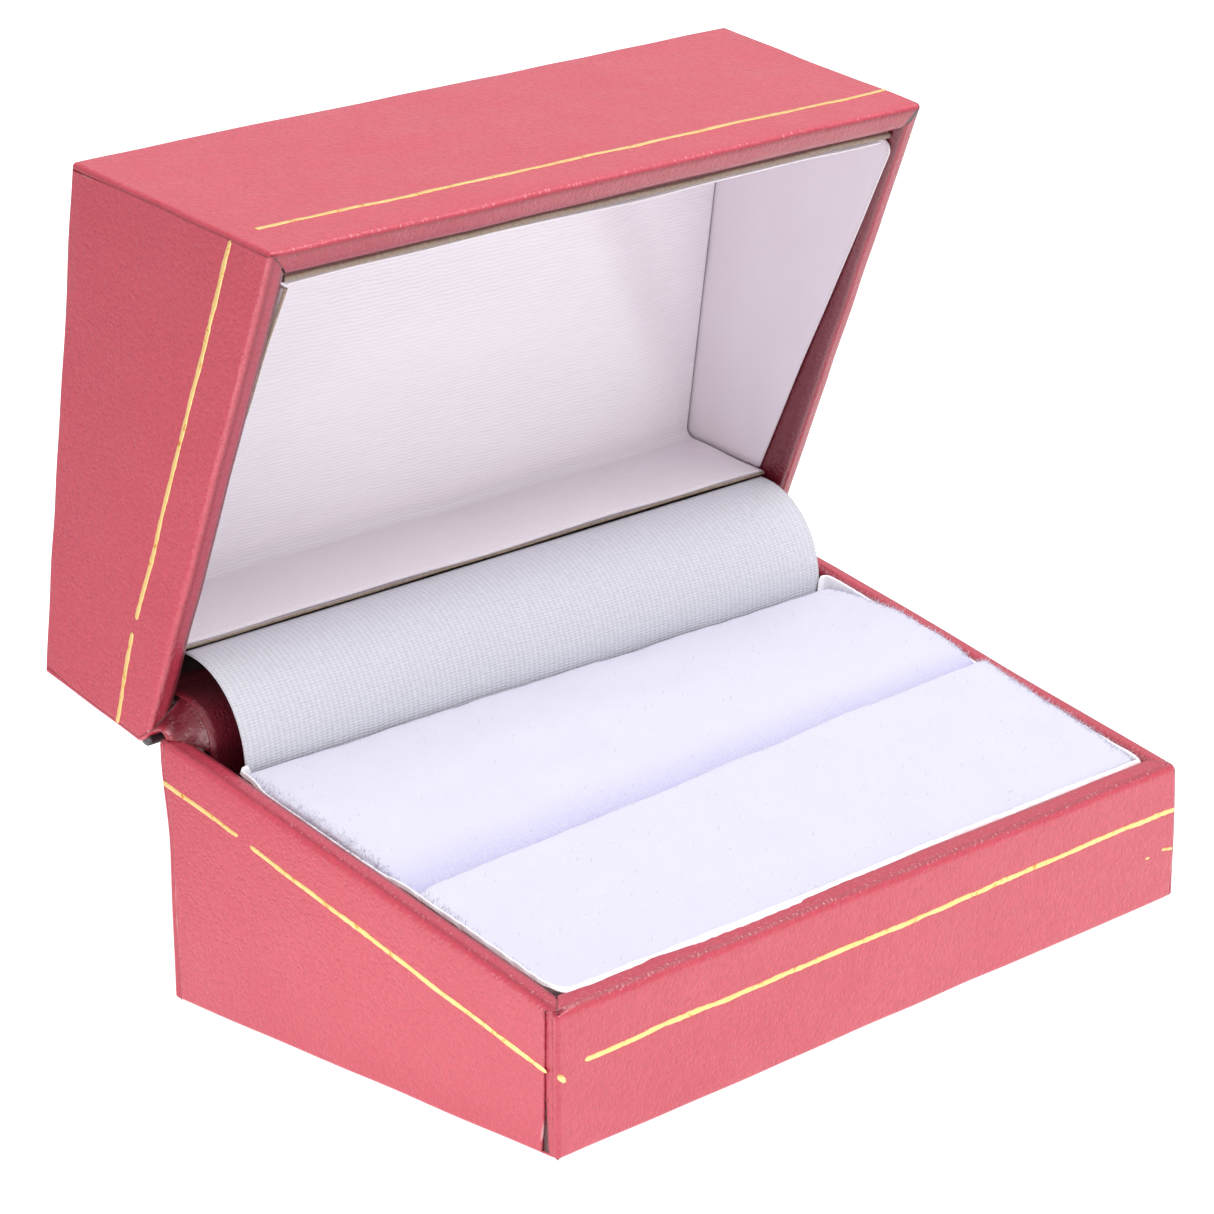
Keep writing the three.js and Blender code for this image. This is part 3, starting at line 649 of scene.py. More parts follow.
# %% One wrap
def wrap(half, side, start, end, step, wall):
    """The leatherette of one wall: the profile's rows carried along the side between its ends.

    Height is the rim's own height at that spot where the row belongs to the rim, the foot's height
    where it belongs to the foot, and a straight mix of both on the outer face."""
    inset, share, beside, outer = wall_profile(wall, step)
    front_y = FRONT[half]
    up, foot, gap = (1, SHEET, 0.0) if half == "base" else (-1, LID_TOP - SHEET, LID_GAP)
    length = 2 * HALF_W if side in ("front", "back") else BACK_Y - front_y
    middle = np.linspace(DENSE[-1], length - DENSE[-1], int(length / 0.9))[1:-1]
    fraction = np.concatenate([DENSE, middle, length - DENSE[::-1]]) / length
    mitre = np.where(inset < CORNER, MITRE, inset)
    s0 = mitre + side_ends(start, outer, 1 - share)
    s1 = length - mitre - side_ends(end, outer, 1 - share)
    s = s0[:, None] + (s1 - s0)[:, None] * fraction[None, :]
    column = np.ones_like(s)
    x, y, along = wall_way(side, s, inset[:, None] * column, front_y)
    top = rim(y) + gap
    if side == "back":
        shelf = SHELF if half == "base" else 0.0
        top = top - shelf * smooth((SHELF_HALF - np.abs(x)) / 0.35)
    z = share[:, None] * top + (1 - share[:, None]) * foot + up * beside[:, None]
    points = np.stack([x, y, z], -1)
    points += unevenness(points, WALL_UNEVEN, WALL_SEED[half])
    points[..., 1] += flare(half, y, z)
    if half == "base":
        points[..., 2] = np.maximum(points[..., 2], SHEET * 0.6)
    from_start, to_end = s - s0[:, None], s1[:, None] - s
    edge = np.minimum(from_start, to_end)
    cut = np.minimum(from_start if start[0] == "over" else NO_CUT, to_end if end[0] == "over" else NO_CUT)
    on_rim = share == 1
    flakes = smooth((waves(points, 0.7, 3.0, 71) - 1.15) / 0.3)
    wear = 0.55 * outer[:, None] * np.exp(-(cut / 0.1) ** 2) * flakes
    foot_share = (1 - share)[:, None] * column
    passed = CORNER * (2 - np.pi / 2)
    # Painted shade in the seams, under the edge of the strip on top, and a dark line along each mitre on the
    # rim.
    hidden = [seam_shade(start, passed - s, foot_share), seam_shade(end, passed - length + s, foot_share)]
    shade = outer[:, None] * np.maximum(*hidden)
    shade = shade + 0.55 * on_rim[:, None] * np.exp(-(edge / 0.13) ** 2)
    # Painted shade along the crease at the rim's outer edge, and over the rim tops, where less light falls.
    crease_painted_shade = on_rim * np.exp(-((inset - 0.42) / 0.2) ** 2) * (np.arange(len(inset)) > RIM_ROW)
    shade = shade + 0.35 * crease_painted_shade[:, None] * column
    shade = shade + RIM_PAINTED_SHADE[half] * (on_rim * smooth((inset - 0.2) / 0.3))[:, None]
    # Painted shade in the gap of the open mitre at the lid's front right corner.
    if half == "lid" and side in ("front", "right"):
        away = to_end if side == "front" else from_start
        opening = 0.04 + 0.42 * np.sin(np.pi * np.clip(inset / MITRE_DEEP, 0, 1))[:, None]
        near = (on_rim * smooth((MITRE_DEEP - inset) / 0.1))[:, None]
        shade = shade + near * np.exp(-(away / opening) ** 6)
    # Painted shade on the inner band of the rim, deeper where the end of another strip lies under it.
    shade = shade + (0.45 if step else 0.12) * (on_rim * smooth((inset - 1.5) / 0.25))[:, None]
    return points, shade, wear


WRAPS = [
    ("base", "front", ("under", 1.65), ("over", 0.4), 0.0),
    ("base", "right", ("under", 0.4), ("over", 0.8), 0.14),
    ("base", "back", ("under", 0.8), ("under", 0.8), 0.0),
    ("base", "left", ("over", 0.8), ("over", 1.65), 0.14),
    ("lid", "front", ("under", 0.45), ("over", 0.4), 0.0),
    ("lid", "right", ("under", 0.4), ("over", 0.6), 0.14),
    ("lid", "back", ("under", 0.6), ("under", 0.6), 0.0),
    ("lid", "left", ("over", 0.6), ("over", 0.45), 0.14),
]
for half, side, start, end, step in WRAPS:
    thick_wall = BACK_WALL if side == "back" else WALL
    points, shade, wear = wrap(half, side, start, end, step, thick_wall)
    if half == "lid":
        points = opened(points)
    piece = make_piece(f"{half.title()}_{side.title()}_Leatherette",
                       [{"points": points, "shade": np.clip(shade, 0, 1), "wear": np.clip(wear, 0, 1)}],
                       LEATHER, half)
    thicken(piece, SHEET)
    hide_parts(f"{half}_{side}_wrap")

# %% [markdown]
# ## The sheets that close the bottom and the top
# Once the walls are wrapped, one more sheet is glued over the turned-under edges. It is a flat grid
# with a thin rounded rim, set in a little from the outline.

# %% Closing sheets
def closing_sheet(name, half, front_y, low, high, node):
    """A flat slab whose cross-section is a long rounded bar: width carried along the depth."""
    inset = 0.9
    half_x = HALF_W - inset
    y0, y1 = front_y + inset, BACK_Y - inset
    angle = np.linspace(0, 2 * np.pi, 41)
    across = np.sign(np.cos(angle)) * np.abs(np.cos(angle)) ** 0.08
    lift = (np.sin(angle) * 0.5 + 0.5) * (high - low) + low
    depth = np.concatenate([[0.0, 0.0, 0.02], np.linspace(0.04, 0.96, 40), [0.98, 1.0, 1.0]])
    close = np.concatenate([[0.0, 0.997], np.ones(len(depth) - 4), [0.997, 0.0]])
    x = half_x * across[None, :] * close[:, None]
    y = y0 + (y1 - y0) * depth[:, None] + 0 * x
    z = (low + high) / 2 + (lift[None, :] - (low + high) / 2) * close[:, None]
    points = np.stack([x, y, z], -1)
    piece = make_piece(name, [{"points": opened(points) if half == "lid" else points}], LEATHER, half)
    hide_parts(node)


closing_sheet("Base_Bottom_Leatherette", "base", FRONT_Y, 0.0, SHEET, "base_bottom_sheet")
closing_sheet("Lid_Top_Leatherette", "lid", LID_FRONT_Y, LID_TOP - SHEET, LID_TOP, "lid_top_sheet")

# %% [markdown]
# ## Gold tooling
# A line of foil is pressed round the walls with a wheel. It is a flat bead with a width that swells and
# shrinks, and it stops where the wheel lifted. Each run is a small closed tube: its cross-section is a
# flattened ellipse carried along the wall, with pinched ends. A run is given as where it starts and ends
# along its side, and how far it lies from the rim there. The base's front also has a few stray touches.

# %% Gold lines
def carried(path, side, out, width, height, ends=0.35):
    """A flattened ellipse carried along a path: `side` and `out` are its two directions."""
    angle = np.linspace(0, 2 * np.pi, 13)
    gone = np.concatenate([[0], np.cumsum(np.linalg.norm(np.diff(path, axis=0), axis=1))])
    taper = np.sqrt(np.clip(np.minimum(gone, gone[-1] - gone) / ends, 0, 1))
    across = (np.cos(angle)[None, :] * (width / 2 * taper)[:, None])[..., None]
    lift = (np.sin(angle)[None, :] * (height * taper)[:, None])[..., None]
    return path[:, None, :] + across * side[:, None, :] + lift * out[:, None, :]


GOLD_WIDTH, GOLD_HEIGHT = 0.47, 0.05


def gold_run(half, side, s0, s1, drop0, drop1, seed, width=GOLD_WIDTH):
    """One run of foil from s0 to s1 along a side, `drop` millimetres from the rim at its two ends."""
    front_y = FRONT[half]
    s = np.linspace(s0, s1, max(int((s1 - s0) / 0.25), 6))
    x, y, _ = wall_way(side, s, 0 * s, front_y, 0.0)
    drop = drop0 + (drop1 - drop0) * (s - s0) / (s1 - s0)
    z = rim(y) - drop if half == "base" else rim(y) + LID_GAP + drop
    path = np.stack([x, y, z], -1)
    shaken = path.copy()
    path = path + unevenness(path, WALL_UNEVEN, WALL_SEED[half])
    path[:, 2] += 0.05 * waves(shaken, 3, 14, seed)
    size = width * (1 + 0.1 * waves(shaken, 0.9, 5, seed + 3) + 0.06 * waves(shaken, 0.4, 0.9, seed + 5))
    path[:, 1] += flare(half, y, z)
    along = np.gradient(path, axis=0)
    along /= np.linalg.norm(along, axis=1)[:, None]
    ahead = np.stack(wall_way(side, s + 0.01, 0 * s, front_y, 0.0)[:2], -1)
    behind = np.stack(wall_way(side, s - 0.01, 0 * s, front_y, 0.0)[:2], -1)
    way = (ahead - behind) / np.linalg.norm(ahead - behind, axis=1)[:, None]
    out = np.stack([way[:, 1], -way[:, 0], 0 * s], -1)
    return carried(path, np.cross(along, out), out, np.clip(size, 0.2, 0.8), np.full(len(s), GOLD_HEIGHT))


DEPTH = BACK_Y - FRONT_Y
LID_DEPTH = BACK_Y - LID_FRONT_Y
GOLD_RUNS = {
    ("base", "front"): [(3.1, 2 * HALF_W - 0.2, 4.9, 4.2)],
    ("base", "left"): [(0.1, 9.5, 4.0, 4.15), (10.9, DEPTH - 1.15, 4.27, 5.7)],
    ("base", "right"): [(0.3, DEPTH - 0.4, 5.2, 4.2)],
    ("lid", "front"): [(2.7, 2 * HALF_W - 0.1, 5.35, 4.55)],
    ("lid", "left"): [(0.2, 8.7, 4.55, 5.15), (9.8, LID_DEPTH - 0.35, 5.0, 4.98)],
    ("lid", "right"): [(0.4, LID_DEPTH - 0.3, 4.9, 4.6)],
}
STRAY_GOLD = ((0.05, 1.0, 5.3, 6.2, 0.5), (75.6, 76.3, 8.0, 8.05, 0.3), (77.9, 79.7, 7.8, 8.15, 0.3))
for number, ((half, side), runs) in enumerate(GOLD_RUNS.items()):
    grids = []
    for part, (s0, s1, drop0, drop1) in enumerate(runs):
        points = gold_run(half, side, s0, s1, drop0, drop1, 200 + 10 * number + part)
        grids.append({"points": opened(points) if half == "lid" else points})
    if (half, side) == ("base", "front"):
        for s0, s1, drop0, drop1, width in STRAY_GOLD:
            grids.append({"points": gold_run(half, side, s0, s1, drop0, drop1, 300 + part, width)})
    piece = make_piece(f"{half.title()}_{side.title()}_Gold_Line", grids, GOLD, half)
    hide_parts(f"{half}_{side}_gold_line")

# %% [markdown]
# ## The velvet pad
# A foam block in two halves, each covered in velvet and pushed into the tray, which leaves the long slit
# that grips a ring. Its top crowns above the rim and sinks towards the back and the left. Each half is a
# height over the plan, rolled down at all four edges like a cushion, and closed underneath. The cover
# lies tight on firm foam, without loose folds, so its form is worked out here and not simulated.

# %% Pad shape
pad_low, pad_high = box_mm("front_velvet_pad")
rear_low, rear_high = box_mm("rear_velvet_pad")
PAD_X = pad_high[0] + 0.7
PAD_THICK = 7.4
SKIN = 0.9


def slit_y(x):
    """The slit wanders a little from straight."""
    return (pad_high[1] + rear_low[1]) / 2 + 0.15 + 0.028 * x + 0.12 * np.sin(x / 9.0)


def crown(x, y):
    """Height of the pad over the rim plane: flat in the middle, falling to back, front and left."""
    left = (PAD_X - x) / (2 * PAD_X)
    fall = 0.0103 - 0.0081 * left
    return 0.97 - 0.85 * left - fall * np.maximum(y - 3, 0) ** 2 - 0.055 * np.maximum(-3 - y, 0)


def rounded(span, radius, skirt, count, steps=9):
    """Positions across a pad: skirt, quarter round, middle, quarter round, skirt.

    Returns the place, how far round each edge's quarter it is (0 to 1, signed), and skirt depth."""
    turn = np.linspace(np.pi / 2, 0, steps)
    low, high = span
    first = low + radius[0] * (1 - np.sin(turn))
    last = (high - radius[1] * (1 - np.sin(turn)))[::-1]
    middle = np.linspace(first[-1], last[0], count)[1:-1]
    deep = np.array(skirt)
    place = np.concatenate([np.full(len(deep), low), first, middle, last, np.full(len(deep), high)])
    full = np.ones(len(deep))
    bend = np.concatenate([-full, -np.sin(turn), 0 * middle, np.sin(turn)[::-1], full])
    return place, bend, np.concatenate([deep, np.zeros(2 * steps + len(middle)), deep[::-1]])


SKIRT = (PAD_THICK, 5, 3, 1.5, 0.6)


def pad_half(x_span, y_span, radius_x, radius_y, drop, seed):
    """A cushion: plan rounded at the corners, top from `crown`, sides rolled down and skirted."""
    x, bend_x, skirt_x = rounded(x_span, radius_x, SKIRT, 130)
    t, bend_t, skirt_t = rounded((0.0, 1.0), radius_y, SKIRT, 34)
    bx, bt = np.meshgrid(bend_x, bend_t)
    gx, gt = np.meshgrid(x, t)
    q = np.hypot(bx, bt)
    pull = np.where(q > 1, 1 - 1 / np.maximum(q, 1e-9), 0)
    rx = np.where(bx < 0, radius_x[0], radius_x[1])
    rt = np.where(bt < 0, radius_y[0], radius_y[1])
    px = gx - bx * rx * pull
    pt = gt - bt * rt * pull
    y0, y1 = y_span
    py = y0(px) + (y1(px) - y0(px)) * pt
    roll_x = np.where(bx < 0, drop[0], drop[1]) * (np.abs(bx) > 0)
    full = 1 - 0.6 * smooth((px - 28) / 8) * (drop[2] > 1)
    roll_t = np.where(bt < 0, drop[2] * full, drop[3]) * (np.abs(bt) > 0)
    weight = bx ** 2 + bt ** 2 + 1e-9
    depth = (roll_x * bx ** 2 + roll_t * bt ** 2) / weight
    fall = depth * (1 - np.sqrt(1 - np.clip(q, 0, 1) ** 2))
    skirt = np.maximum(*np.meshgrid(skirt_x, skirt_t))
    pz = rim(py) + crown(px, py) - fall - skirt
    points = np.stack([px, py, pz], -1)
    top = np.exp(-skirt)[..., None]
    points += top * unevenness(points, 0.07, seed, 6, 22) * [0.5, 0.8, 1.0]
    points += top * unevenness(points, 0.02, seed + 7, 1.2, 3)
    return points, gx, gt


front_edge = pad_low[1] - 0.25
back_edge = rear_high[1] + 0.75


def half_slit(x):
    """Half the width of the slit, which gapes a little at its left end."""
    return 0.12 + 0.22 * smooth((-35.0 - x) / 2.2)


halves = {
    "Front_Velvet_Pad": (((-PAD_X, PAD_X), (lambda x: front_edge + 0 * x, lambda x: slit_y(x) - half_slit(x)),
                          (1.1, 0.5), (0.06, 0.045), (0.45, 0.3, 0.3, 1.0), 41), "front_velvet_pad"),
    "Rear_Velvet_Pad": (((-PAD_X, PAD_X), (lambda x: slit_y(x) + half_slit(x), lambda x: back_edge + 0 * x),
                         (1.0, 0.7), (0.34, 0.05), (0.5, 0.5, 2.2, 0.35), 53), "rear_velvet_pad"),
}
for name, (shape, node) in halves.items():
    points, u, t = pad_half(*shape)
    uv = np.stack([u, t * 17], -1) * MM
    # Painted shade on the rear half, fading in over a few millimetres as it slopes down into the slit, wider
    # to the left.
    gone = points[..., 1] - slit_y(points[..., 0])
    width = 3.2 + 2.6 * (PAD_X - points[..., 0]) / (2 * PAD_X)
    slit_painted_shade = np.where(gone > 0, smooth(1 - gone / width), 0.0)
    piece = make_piece(name, [{"points": points, "uv": uv, "shade": slit_painted_shade}], VELVET, "base", close=True)
    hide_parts(node)

# %% [markdown]
# The pile of the velvet is most visible where the pad is seen edge on. So fibres stand along the left and
# right edges of both halves, and a few between: each is a three-sided needle, leaning a little at random.

# %% Velvet fibres
FIBRE_COUNT, FIBRE_LENGTH = 8000, 0.42
FIBRE_FOOT, FIBRE_ROOT, FIBRE_LEAN = 0.026, 0.04, 0.45


def fibres(name, surfaces, count, length, seed):
    """Needles on grids: a foot triangle on the surface and a tip along the normal, leaned at random."""
    chance = np.random.default_rng(seed)
    spots, normals = [], []
    for points in surfaces:
        top = points[3:-3, 3:-3]
        ahead = np.gradient(top, axis=0)
        across = np.gradient(top, axis=1)
        normal = np.cross(across, ahead)
        size = np.linalg.norm(normal, axis=-1)
        keep = size > 1e-5
        at_edge = 0.004 + smooth((np.abs(top[..., 0]) - PAD_X + 1.2) / 0.9)
        area = (size * at_edge)[keep]
        area = area / area.sum()
        chosen = chance.choice(keep.sum(), count // len(surfaces), p=area)
        normal = normal[keep][chosen] / size[keep][chosen][:, None]
        normal *= np.sign(normal[:, 2:3] + 1e-9)
        slide = chance.uniform(-0.5, 0.5, (len(chosen), 2, 1))
        spots.append(top[keep][chosen] + slide[:, 0] * ahead[keep][chosen]
                     + slide[:, 1] * across[keep][chosen])
        normals.append(normal)
    spot, normal = np.concatenate(spots), np.concatenate(normals)
    count = len(spot)
    lean = normal + chance.normal(size=(count, 3)) * FIBRE_LEAN
    tip = spot + lean * length * chance.uniform(0.4, 1.0, (count, 1))
    side = np.cross(lean, chance.normal(size=(count, 3)))
    side /= np.linalg.norm(side, axis=1)[:, None]
    other = np.cross(normal, side)
    angle = np.arange(3) * 2 * np.pi / 3
    ring = np.cos(angle)[:, None] * side[:, None] + np.sin(angle)[:, None] * other[:, None]
    foot = spot[:, None] - FIBRE_ROOT * normal[:, None] + FIBRE_FOOT * ring
    points = np.concatenate([foot, tip[:, None]], 1).reshape(-1, 3)
    start = 4 * np.arange(count)[:, None, None]
    faces = (start + np.array([[0, 1, 3], [1, 2, 3], [2, 0, 3], [2, 1, 0]])[None]).reshape(-1, 3)
    mesh = bpy.data.meshes.new(name)
    mesh.from_pydata((points * MM).tolist(), [], faces.tolist())
    mesh.materials.append(VELVET)
    piece = bpy.data.objects.new(name, mesh)
    scene.collection.objects.link(piece)
    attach(piece, "base")
    print(name, count, "fibres")


fibres("Velvet_Fibres", [pad_half(*shape)[0] for shape, _ in halves.values()],
       FIBRE_COUNT, FIBRE_LENGTH, 47)

# %% [markdown]
# The foam under the velvet never shows, but it is a piece of its own. It has the form of its cover,
# drawn in by the thickness of the velvet all round.

# %% Foam under the velvet
for name, (shape, node) in halves.items():
    x_span, (y0, y1), *rest = shape
    inner = ((x_span[0] + SKIN, x_span[1] - SKIN),
             (lambda x, y0=y0: y0(x) + SKIN, lambda x, y1=y1: y1(x) - SKIN), *rest)
    points, u, t = pad_half(*inner)
    points[..., 2] -= SKIN * (points[..., 2] > rim(points[..., 1]) - PAD_THICK)
    piece = make_piece(name.replace("Velvet_Pad", "Foam_Block"), [{"points": points}], FOAM, "base",
                       close=True)
    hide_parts(node.replace("velvet_pad", "foam"))

# %% [markdown]
# ## The satin edging
# A narrow satin strip is tucked in all round the pad and laps a little onto the rim. It is a ribbon: a
# short hooked profile carried round a rectangle with rounded corners. It laps furthest at the left of
# the front, and shows most along the right wall and at the right corner.

# %% Edging ribbon
def round_outline(half_x, y0, y1, radii, spacing):
    """Points and outward directions round a rectangle whose corners are quarter circles."""
    turn = np.linspace(0, np.pi / 2, 9)
    ways, spots = [], []
    for k, (sx, sy) in enumerate(((1, -1), (1, 1), (-1, 1), (-1, -1))):
        angle = turn + (k - 1) * np.pi / 2
        way = np.stack([np.cos(angle), np.sin(angle)], -1)
        centre = np.array([sx * (half_x - radii[k]), y0 + radii[k] if sy < 0 else y1 - radii[k]])
        ways.append(way)
        spots.append(centre + radii[k] * way)
    ways.append(ways[0][:1])
    spots.append(spots[0][:1])
    spot, way = np.concatenate(spots), np.concatenate(ways)
    gone = np.concatenate([[0], np.cumsum(np.linalg.norm(np.diff(spot, axis=0), axis=1))])
    even = np.linspace(0, gone[-1], int(gone[-1] / spacing))
    spot = np.stack([np.interp(even, gone, spot[:, k]) for k in (0, 1)], -1)
    way = np.stack([np.interp(even, gone, way[:, k]) for k in (0, 1)], -1)
    return spot, way / np.linalg.norm(way, axis=1)[:, None], even


EDGING_RADII = (0.5, 0.8, 0.8, 2.0)   # front right, back right, back left, front left
EDGING_SINK, EDGING_SKIRT = 2.4, 2.2


def edging():
    """The hook runs from its lap on the rim, over the wall's inner edge, and down beside the pad."""
    spot, way, gone = round_outline(HALF_W - WALL, FRONT_Y + WALL, back_edge + 0.25, EDGING_RADII, 0.3)
    x, y = spot[:, 0], spot[:, 1]
    flat = np.stack([x, y, 0 * x], -1)
    front = smooth((-way[:, 1] - 0.3) / 0.6)
    right = smooth((way[:, 0] - 0.3) / 0.6)
    left = smooth((-way[:, 0] - 0.3) / 0.6)
    sunk = smooth((way[:, 1] - 0.3) / 0.6) * smooth((36.4 - np.abs(x)) / 0.6)
    sunk = np.maximum(sunk, 0.22 * left * smooth((y - slit_y(x)) / 4) * smooth((15.5 - y) / 1.5))
    lap = front * (0.9 - 0.68 * smooth((x + 12) / 26)) + 0.12 * right + 0.1 * left
    lap = lap + 0.05 * waves(flat, 0.5, 2.4, 91)
    reach = 0.35 + 0.1 * front + 0.4 * right * (1 + 0.5 * waves(flat, 4, 14, 92))
    t = np.linspace(0, 1, 15)[:, None]
    ahead = lap[None] - (lap + reach)[None] * t
    place = spot[None] + way[None] * ahead[..., None]
    rounding = np.clip(RIM_ROUND - lap, 0, RIM_ROUND)
    start = np.sqrt(RIM_ROUND ** 2 - rounding ** 2) - RIM_ROUND
    over, into = smooth(t / 0.3), smooth((t - 0.6) / 0.4)
    bulge = 0.01 + 0.02 * front + 0.08 * right
    z = rim(place[..., 1]) + 0.03 + start[None] * (1 - over) + over * bulge[None, :]
    z = z - EDGING_SINK * sunk[None] - EDGING_SKIRT * into
    points = np.concatenate([place, z[..., None]], -1)
    points += unevenness(points, 0.025, 97, 2, 9) * over[..., None]
    return points, np.stack([t * EDGING_SKIRT + 0 * z, gone[None, :] + 0 * z], -1) * MM, gone[-1]


points, uv, edging_length = edging()
strip = make_piece("Satin_Edging", [{"points": points, "uv": uv}], EDGE_SATIN, "base",
                   inside=(0, 0, -200))
thicken(strip, 0.12)
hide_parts("pad_satin_edging")
print("edging length, mm:", round(edging_length, 1))

# %% [markdown]
# ## The curtain over the hinge
# A loose piece of satin is glued behind the pad at one end and to the liner's back flap at the other, and
# it hides the hinge. With the lid open it bellies out in about a quarter of an ellipse. It is drawn in
# this open pose and hangs on neither half.

# %% Curtain
curtain_low, curtain_high = box_mm("satin_apron")
CURTAIN_RISE = 0.32
CURTAIN_HALF = 36.5
CURTAIN_TUCK = 3.0
BELLY = 0.22


def curtain():
    """A quarter ellipse from the foot to the top, carried along the hinge, with a soft belly."""
    foot_y, top_y = curtain_low[1] + 0.15, curtain_high[1]
    foot_z, top_z = rim(foot_y) - 0.55, curtain_high[2] + CURTAIN_RISE
    tuck = np.linspace(-CURTAIN_TUCK, -0.2, 6)
    angle = np.linspace(0, np.pi / 2, 40)
    arc_y = foot_y + (top_y - foot_y) * (1 - np.cos(angle))
    arc_z = foot_z + (top_z - foot_z) * np.sin(angle)
    y = np.concatenate([np.full(6, foot_y), arc_y])
    z = np.concatenate([foot_z + tuck, arc_z])
    points, uv, gone = carried_sheet(np.linspace(-CURTAIN_HALF, CURTAIN_HALF, 150), y, z)
    uv[..., 0] += CURTAIN_HALF * MM
    free = np.sin(np.pi * np.clip(gone / gone[-1], 0, 1))[:, None]
    belly = BELLY * free * waves(points * [1, 0.3, 0.3], 9, 40, 61)
    points[..., 1] -= belly * 0.7
    points[..., 2] -= belly * 0.7
    return points, uv, gone[-1], 2 * CURTAIN_HALF


points, uv, curtain_length, curtain_width = curtain()
apron = make_piece("Satin_Curtain", [{"points": points, "uv": uv}], CURTAIN, None,
                   inside=(0, PIVOT[0] + 3, PIVOT[1] - 6))
thicken(apron, 0.16)
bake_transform(apron)
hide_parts("satin_apron")
print("curtain flat size, mm:", round(curtain_width, 1), round(curtain_length, 1))

# %% [markdown]
# ## The strip and the spring over the hinge
# Under the curtain a strip of leatherette is glued to the inner faces of both back walls and bends
# round the hinge line, and a leaf spring under it snaps the lid open and shut. Both are a line that
# runs straight, round the hinge, and straight again, carried along X.

# %% Strip and spring
STRIP_RADIUS, STRIP_REACH, STRIP_HALF = 3.9, 4.0, 37.3
SPRING_RADIUS, SPRING_REACH, SPRING_HALF = 4.4, 5.0, 8.0


def over_hinge(radius, reach, half_width, sag, seed):
    """Straight up the base's wall, a circle about the hinge line, and straight along the lid's wall."""
    sweep = np.pi - np.linspace(0, OPEN, 22)
    y = PIVOT[0] + radius * np.cos(sweep)
    z = PIVOT[1] + radius * np.sin(sweep)
    lead = np.linspace(reach, 0, 8)[:-1]
    end = math.pi / 2 - OPEN
    y = np.concatenate([np.full(7, y[0]), y, y[-1] + lead[::-1] * math.cos(end)])
    z = np.concatenate([z[0] - lead, z, z[-1] + lead[::-1] * math.sin(end)])
    x = np.linspace(-half_width, half_width, max(int(half_width * 2 / 0.8), 12))
    points, uv, gone = carried_sheet(x, y, z)
    free = np.sin(np.pi * gone / gone[-1])[:, None]
    points[..., 2] += sag * free * waves(points, 8, 30, seed)
    return points, uv, gone[-1]


for name, node, finish, slot, radius, reach, half_width, sag, thickness in (
        ("Hinge_Cover_Strip", "hinge_cover_strip", LEATHER, "leatherette",
         STRIP_RADIUS, STRIP_REACH, STRIP_HALF, 0.12, 0.25),
        ("Snap_Spring", "snap_spring", STEEL, "hinge_steel",
         SPRING_RADIUS, SPRING_REACH, SPRING_HALF, 0.0, 0.3)):
    points, uv, length = over_hinge(radius, reach, half_width, sag, 67)
    # Painted shade in the hollow over the hinge, darker towards the strip's ends.
    hinge_painted_shade = 0.35 + 0.48 * smooth((np.abs(points[..., 0]) - 20) / 12)
    strip = make_piece(name, [{"points": points, "uv": uv, "shade": hinge_painted_shade}], finish, None,
                       inside=(0, PIVOT[0], PIVOT[1]))
    thicken(strip, thickness, 0.0)
    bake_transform(strip)
    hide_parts(node)
    print(name, "length over the hinge, mm:", round(length, 1))

# %% [markdown]
# At both ends the strip is folded down and tucked between the rims of the lid and the base, so that no
# light shows through. The fold is a ruled surface: the bend of the strip at one side, and a short tight
# bend between the rims at the other. Outside, the end of the hinge barrel shows as a dark stub.

# %% End folds
FOLD_START, FOLD_WIDTH = 37.1, 2.75
STUB_START, STUB_END, STUB_RISE = 37.4, 39.8, 2.0
STUB_TALL, STUB_DEEP = 1.5, 0.6


def end_fold(sign):
    """Straight lines from the strip's bend to a short bend between the two rims, eased at both ends."""
    sweep = np.pi - np.linspace(-0.1, OPEN + 0.15, 30)
    wide = PIVOT + 3.95 * np.stack([np.cos(sweep), np.sin(sweep)], -1)
    t = np.linspace(0, 1, 30)[:, None]
    low, high = np.array([BACK_Y - 0.2, BACK_H + 0.05]), np.array([BACK_Y + 1.7, BACK_H + 0.35])
    tight = low + (high - low) * t + np.array([-0.15, 0.5]) * np.sin(np.pi * t)
    ease = np.linspace(0, 1, 24)
    mixed = wide[:, None] + (tight - wide)[:, None] * (ease ** 0.8)[None, :, None]
    x = sign * (FOLD_START + FOLD_WIDTH * ease)[None, :] + 0 * mixed[..., 0]
    points = np.concatenate([x[..., None], mixed], -1)
    points += unevenness(points, 0.2, 171 + sign, 1.6, 6) * np.sin(np.pi * ease)[None, :, None]
    # Painted shade: dark along most of the fold, lighter near the short bend between the rims.
    shade = 0.86 - 0.5 * smooth((ease - 0.68) / 0.3)
    return points, shade[None, :] + 0 * x


def end_stub(sign):
    """The squared-off end of the barrel, under the corner of the open lid; drawn with the lid shut."""
    x = np.linspace(sign * STUB_START, sign * STUB_END, 14)
    path = np.stack([x, 0 * x + PIVOT[0] + 0.1, 0 * x + PIVOT[1] + STUB_RISE], -1)
    side = np.repeat(np.array([[0.0, 0.0, 1.0]]), len(x), 0)
    out = np.repeat(np.array([[0.0, 1.0, 0.0]]), len(x), 0)
    return opened(carried(path, side, out, np.full(len(x), STUB_TALL), np.full(len(x), STUB_DEEP), 0.04))


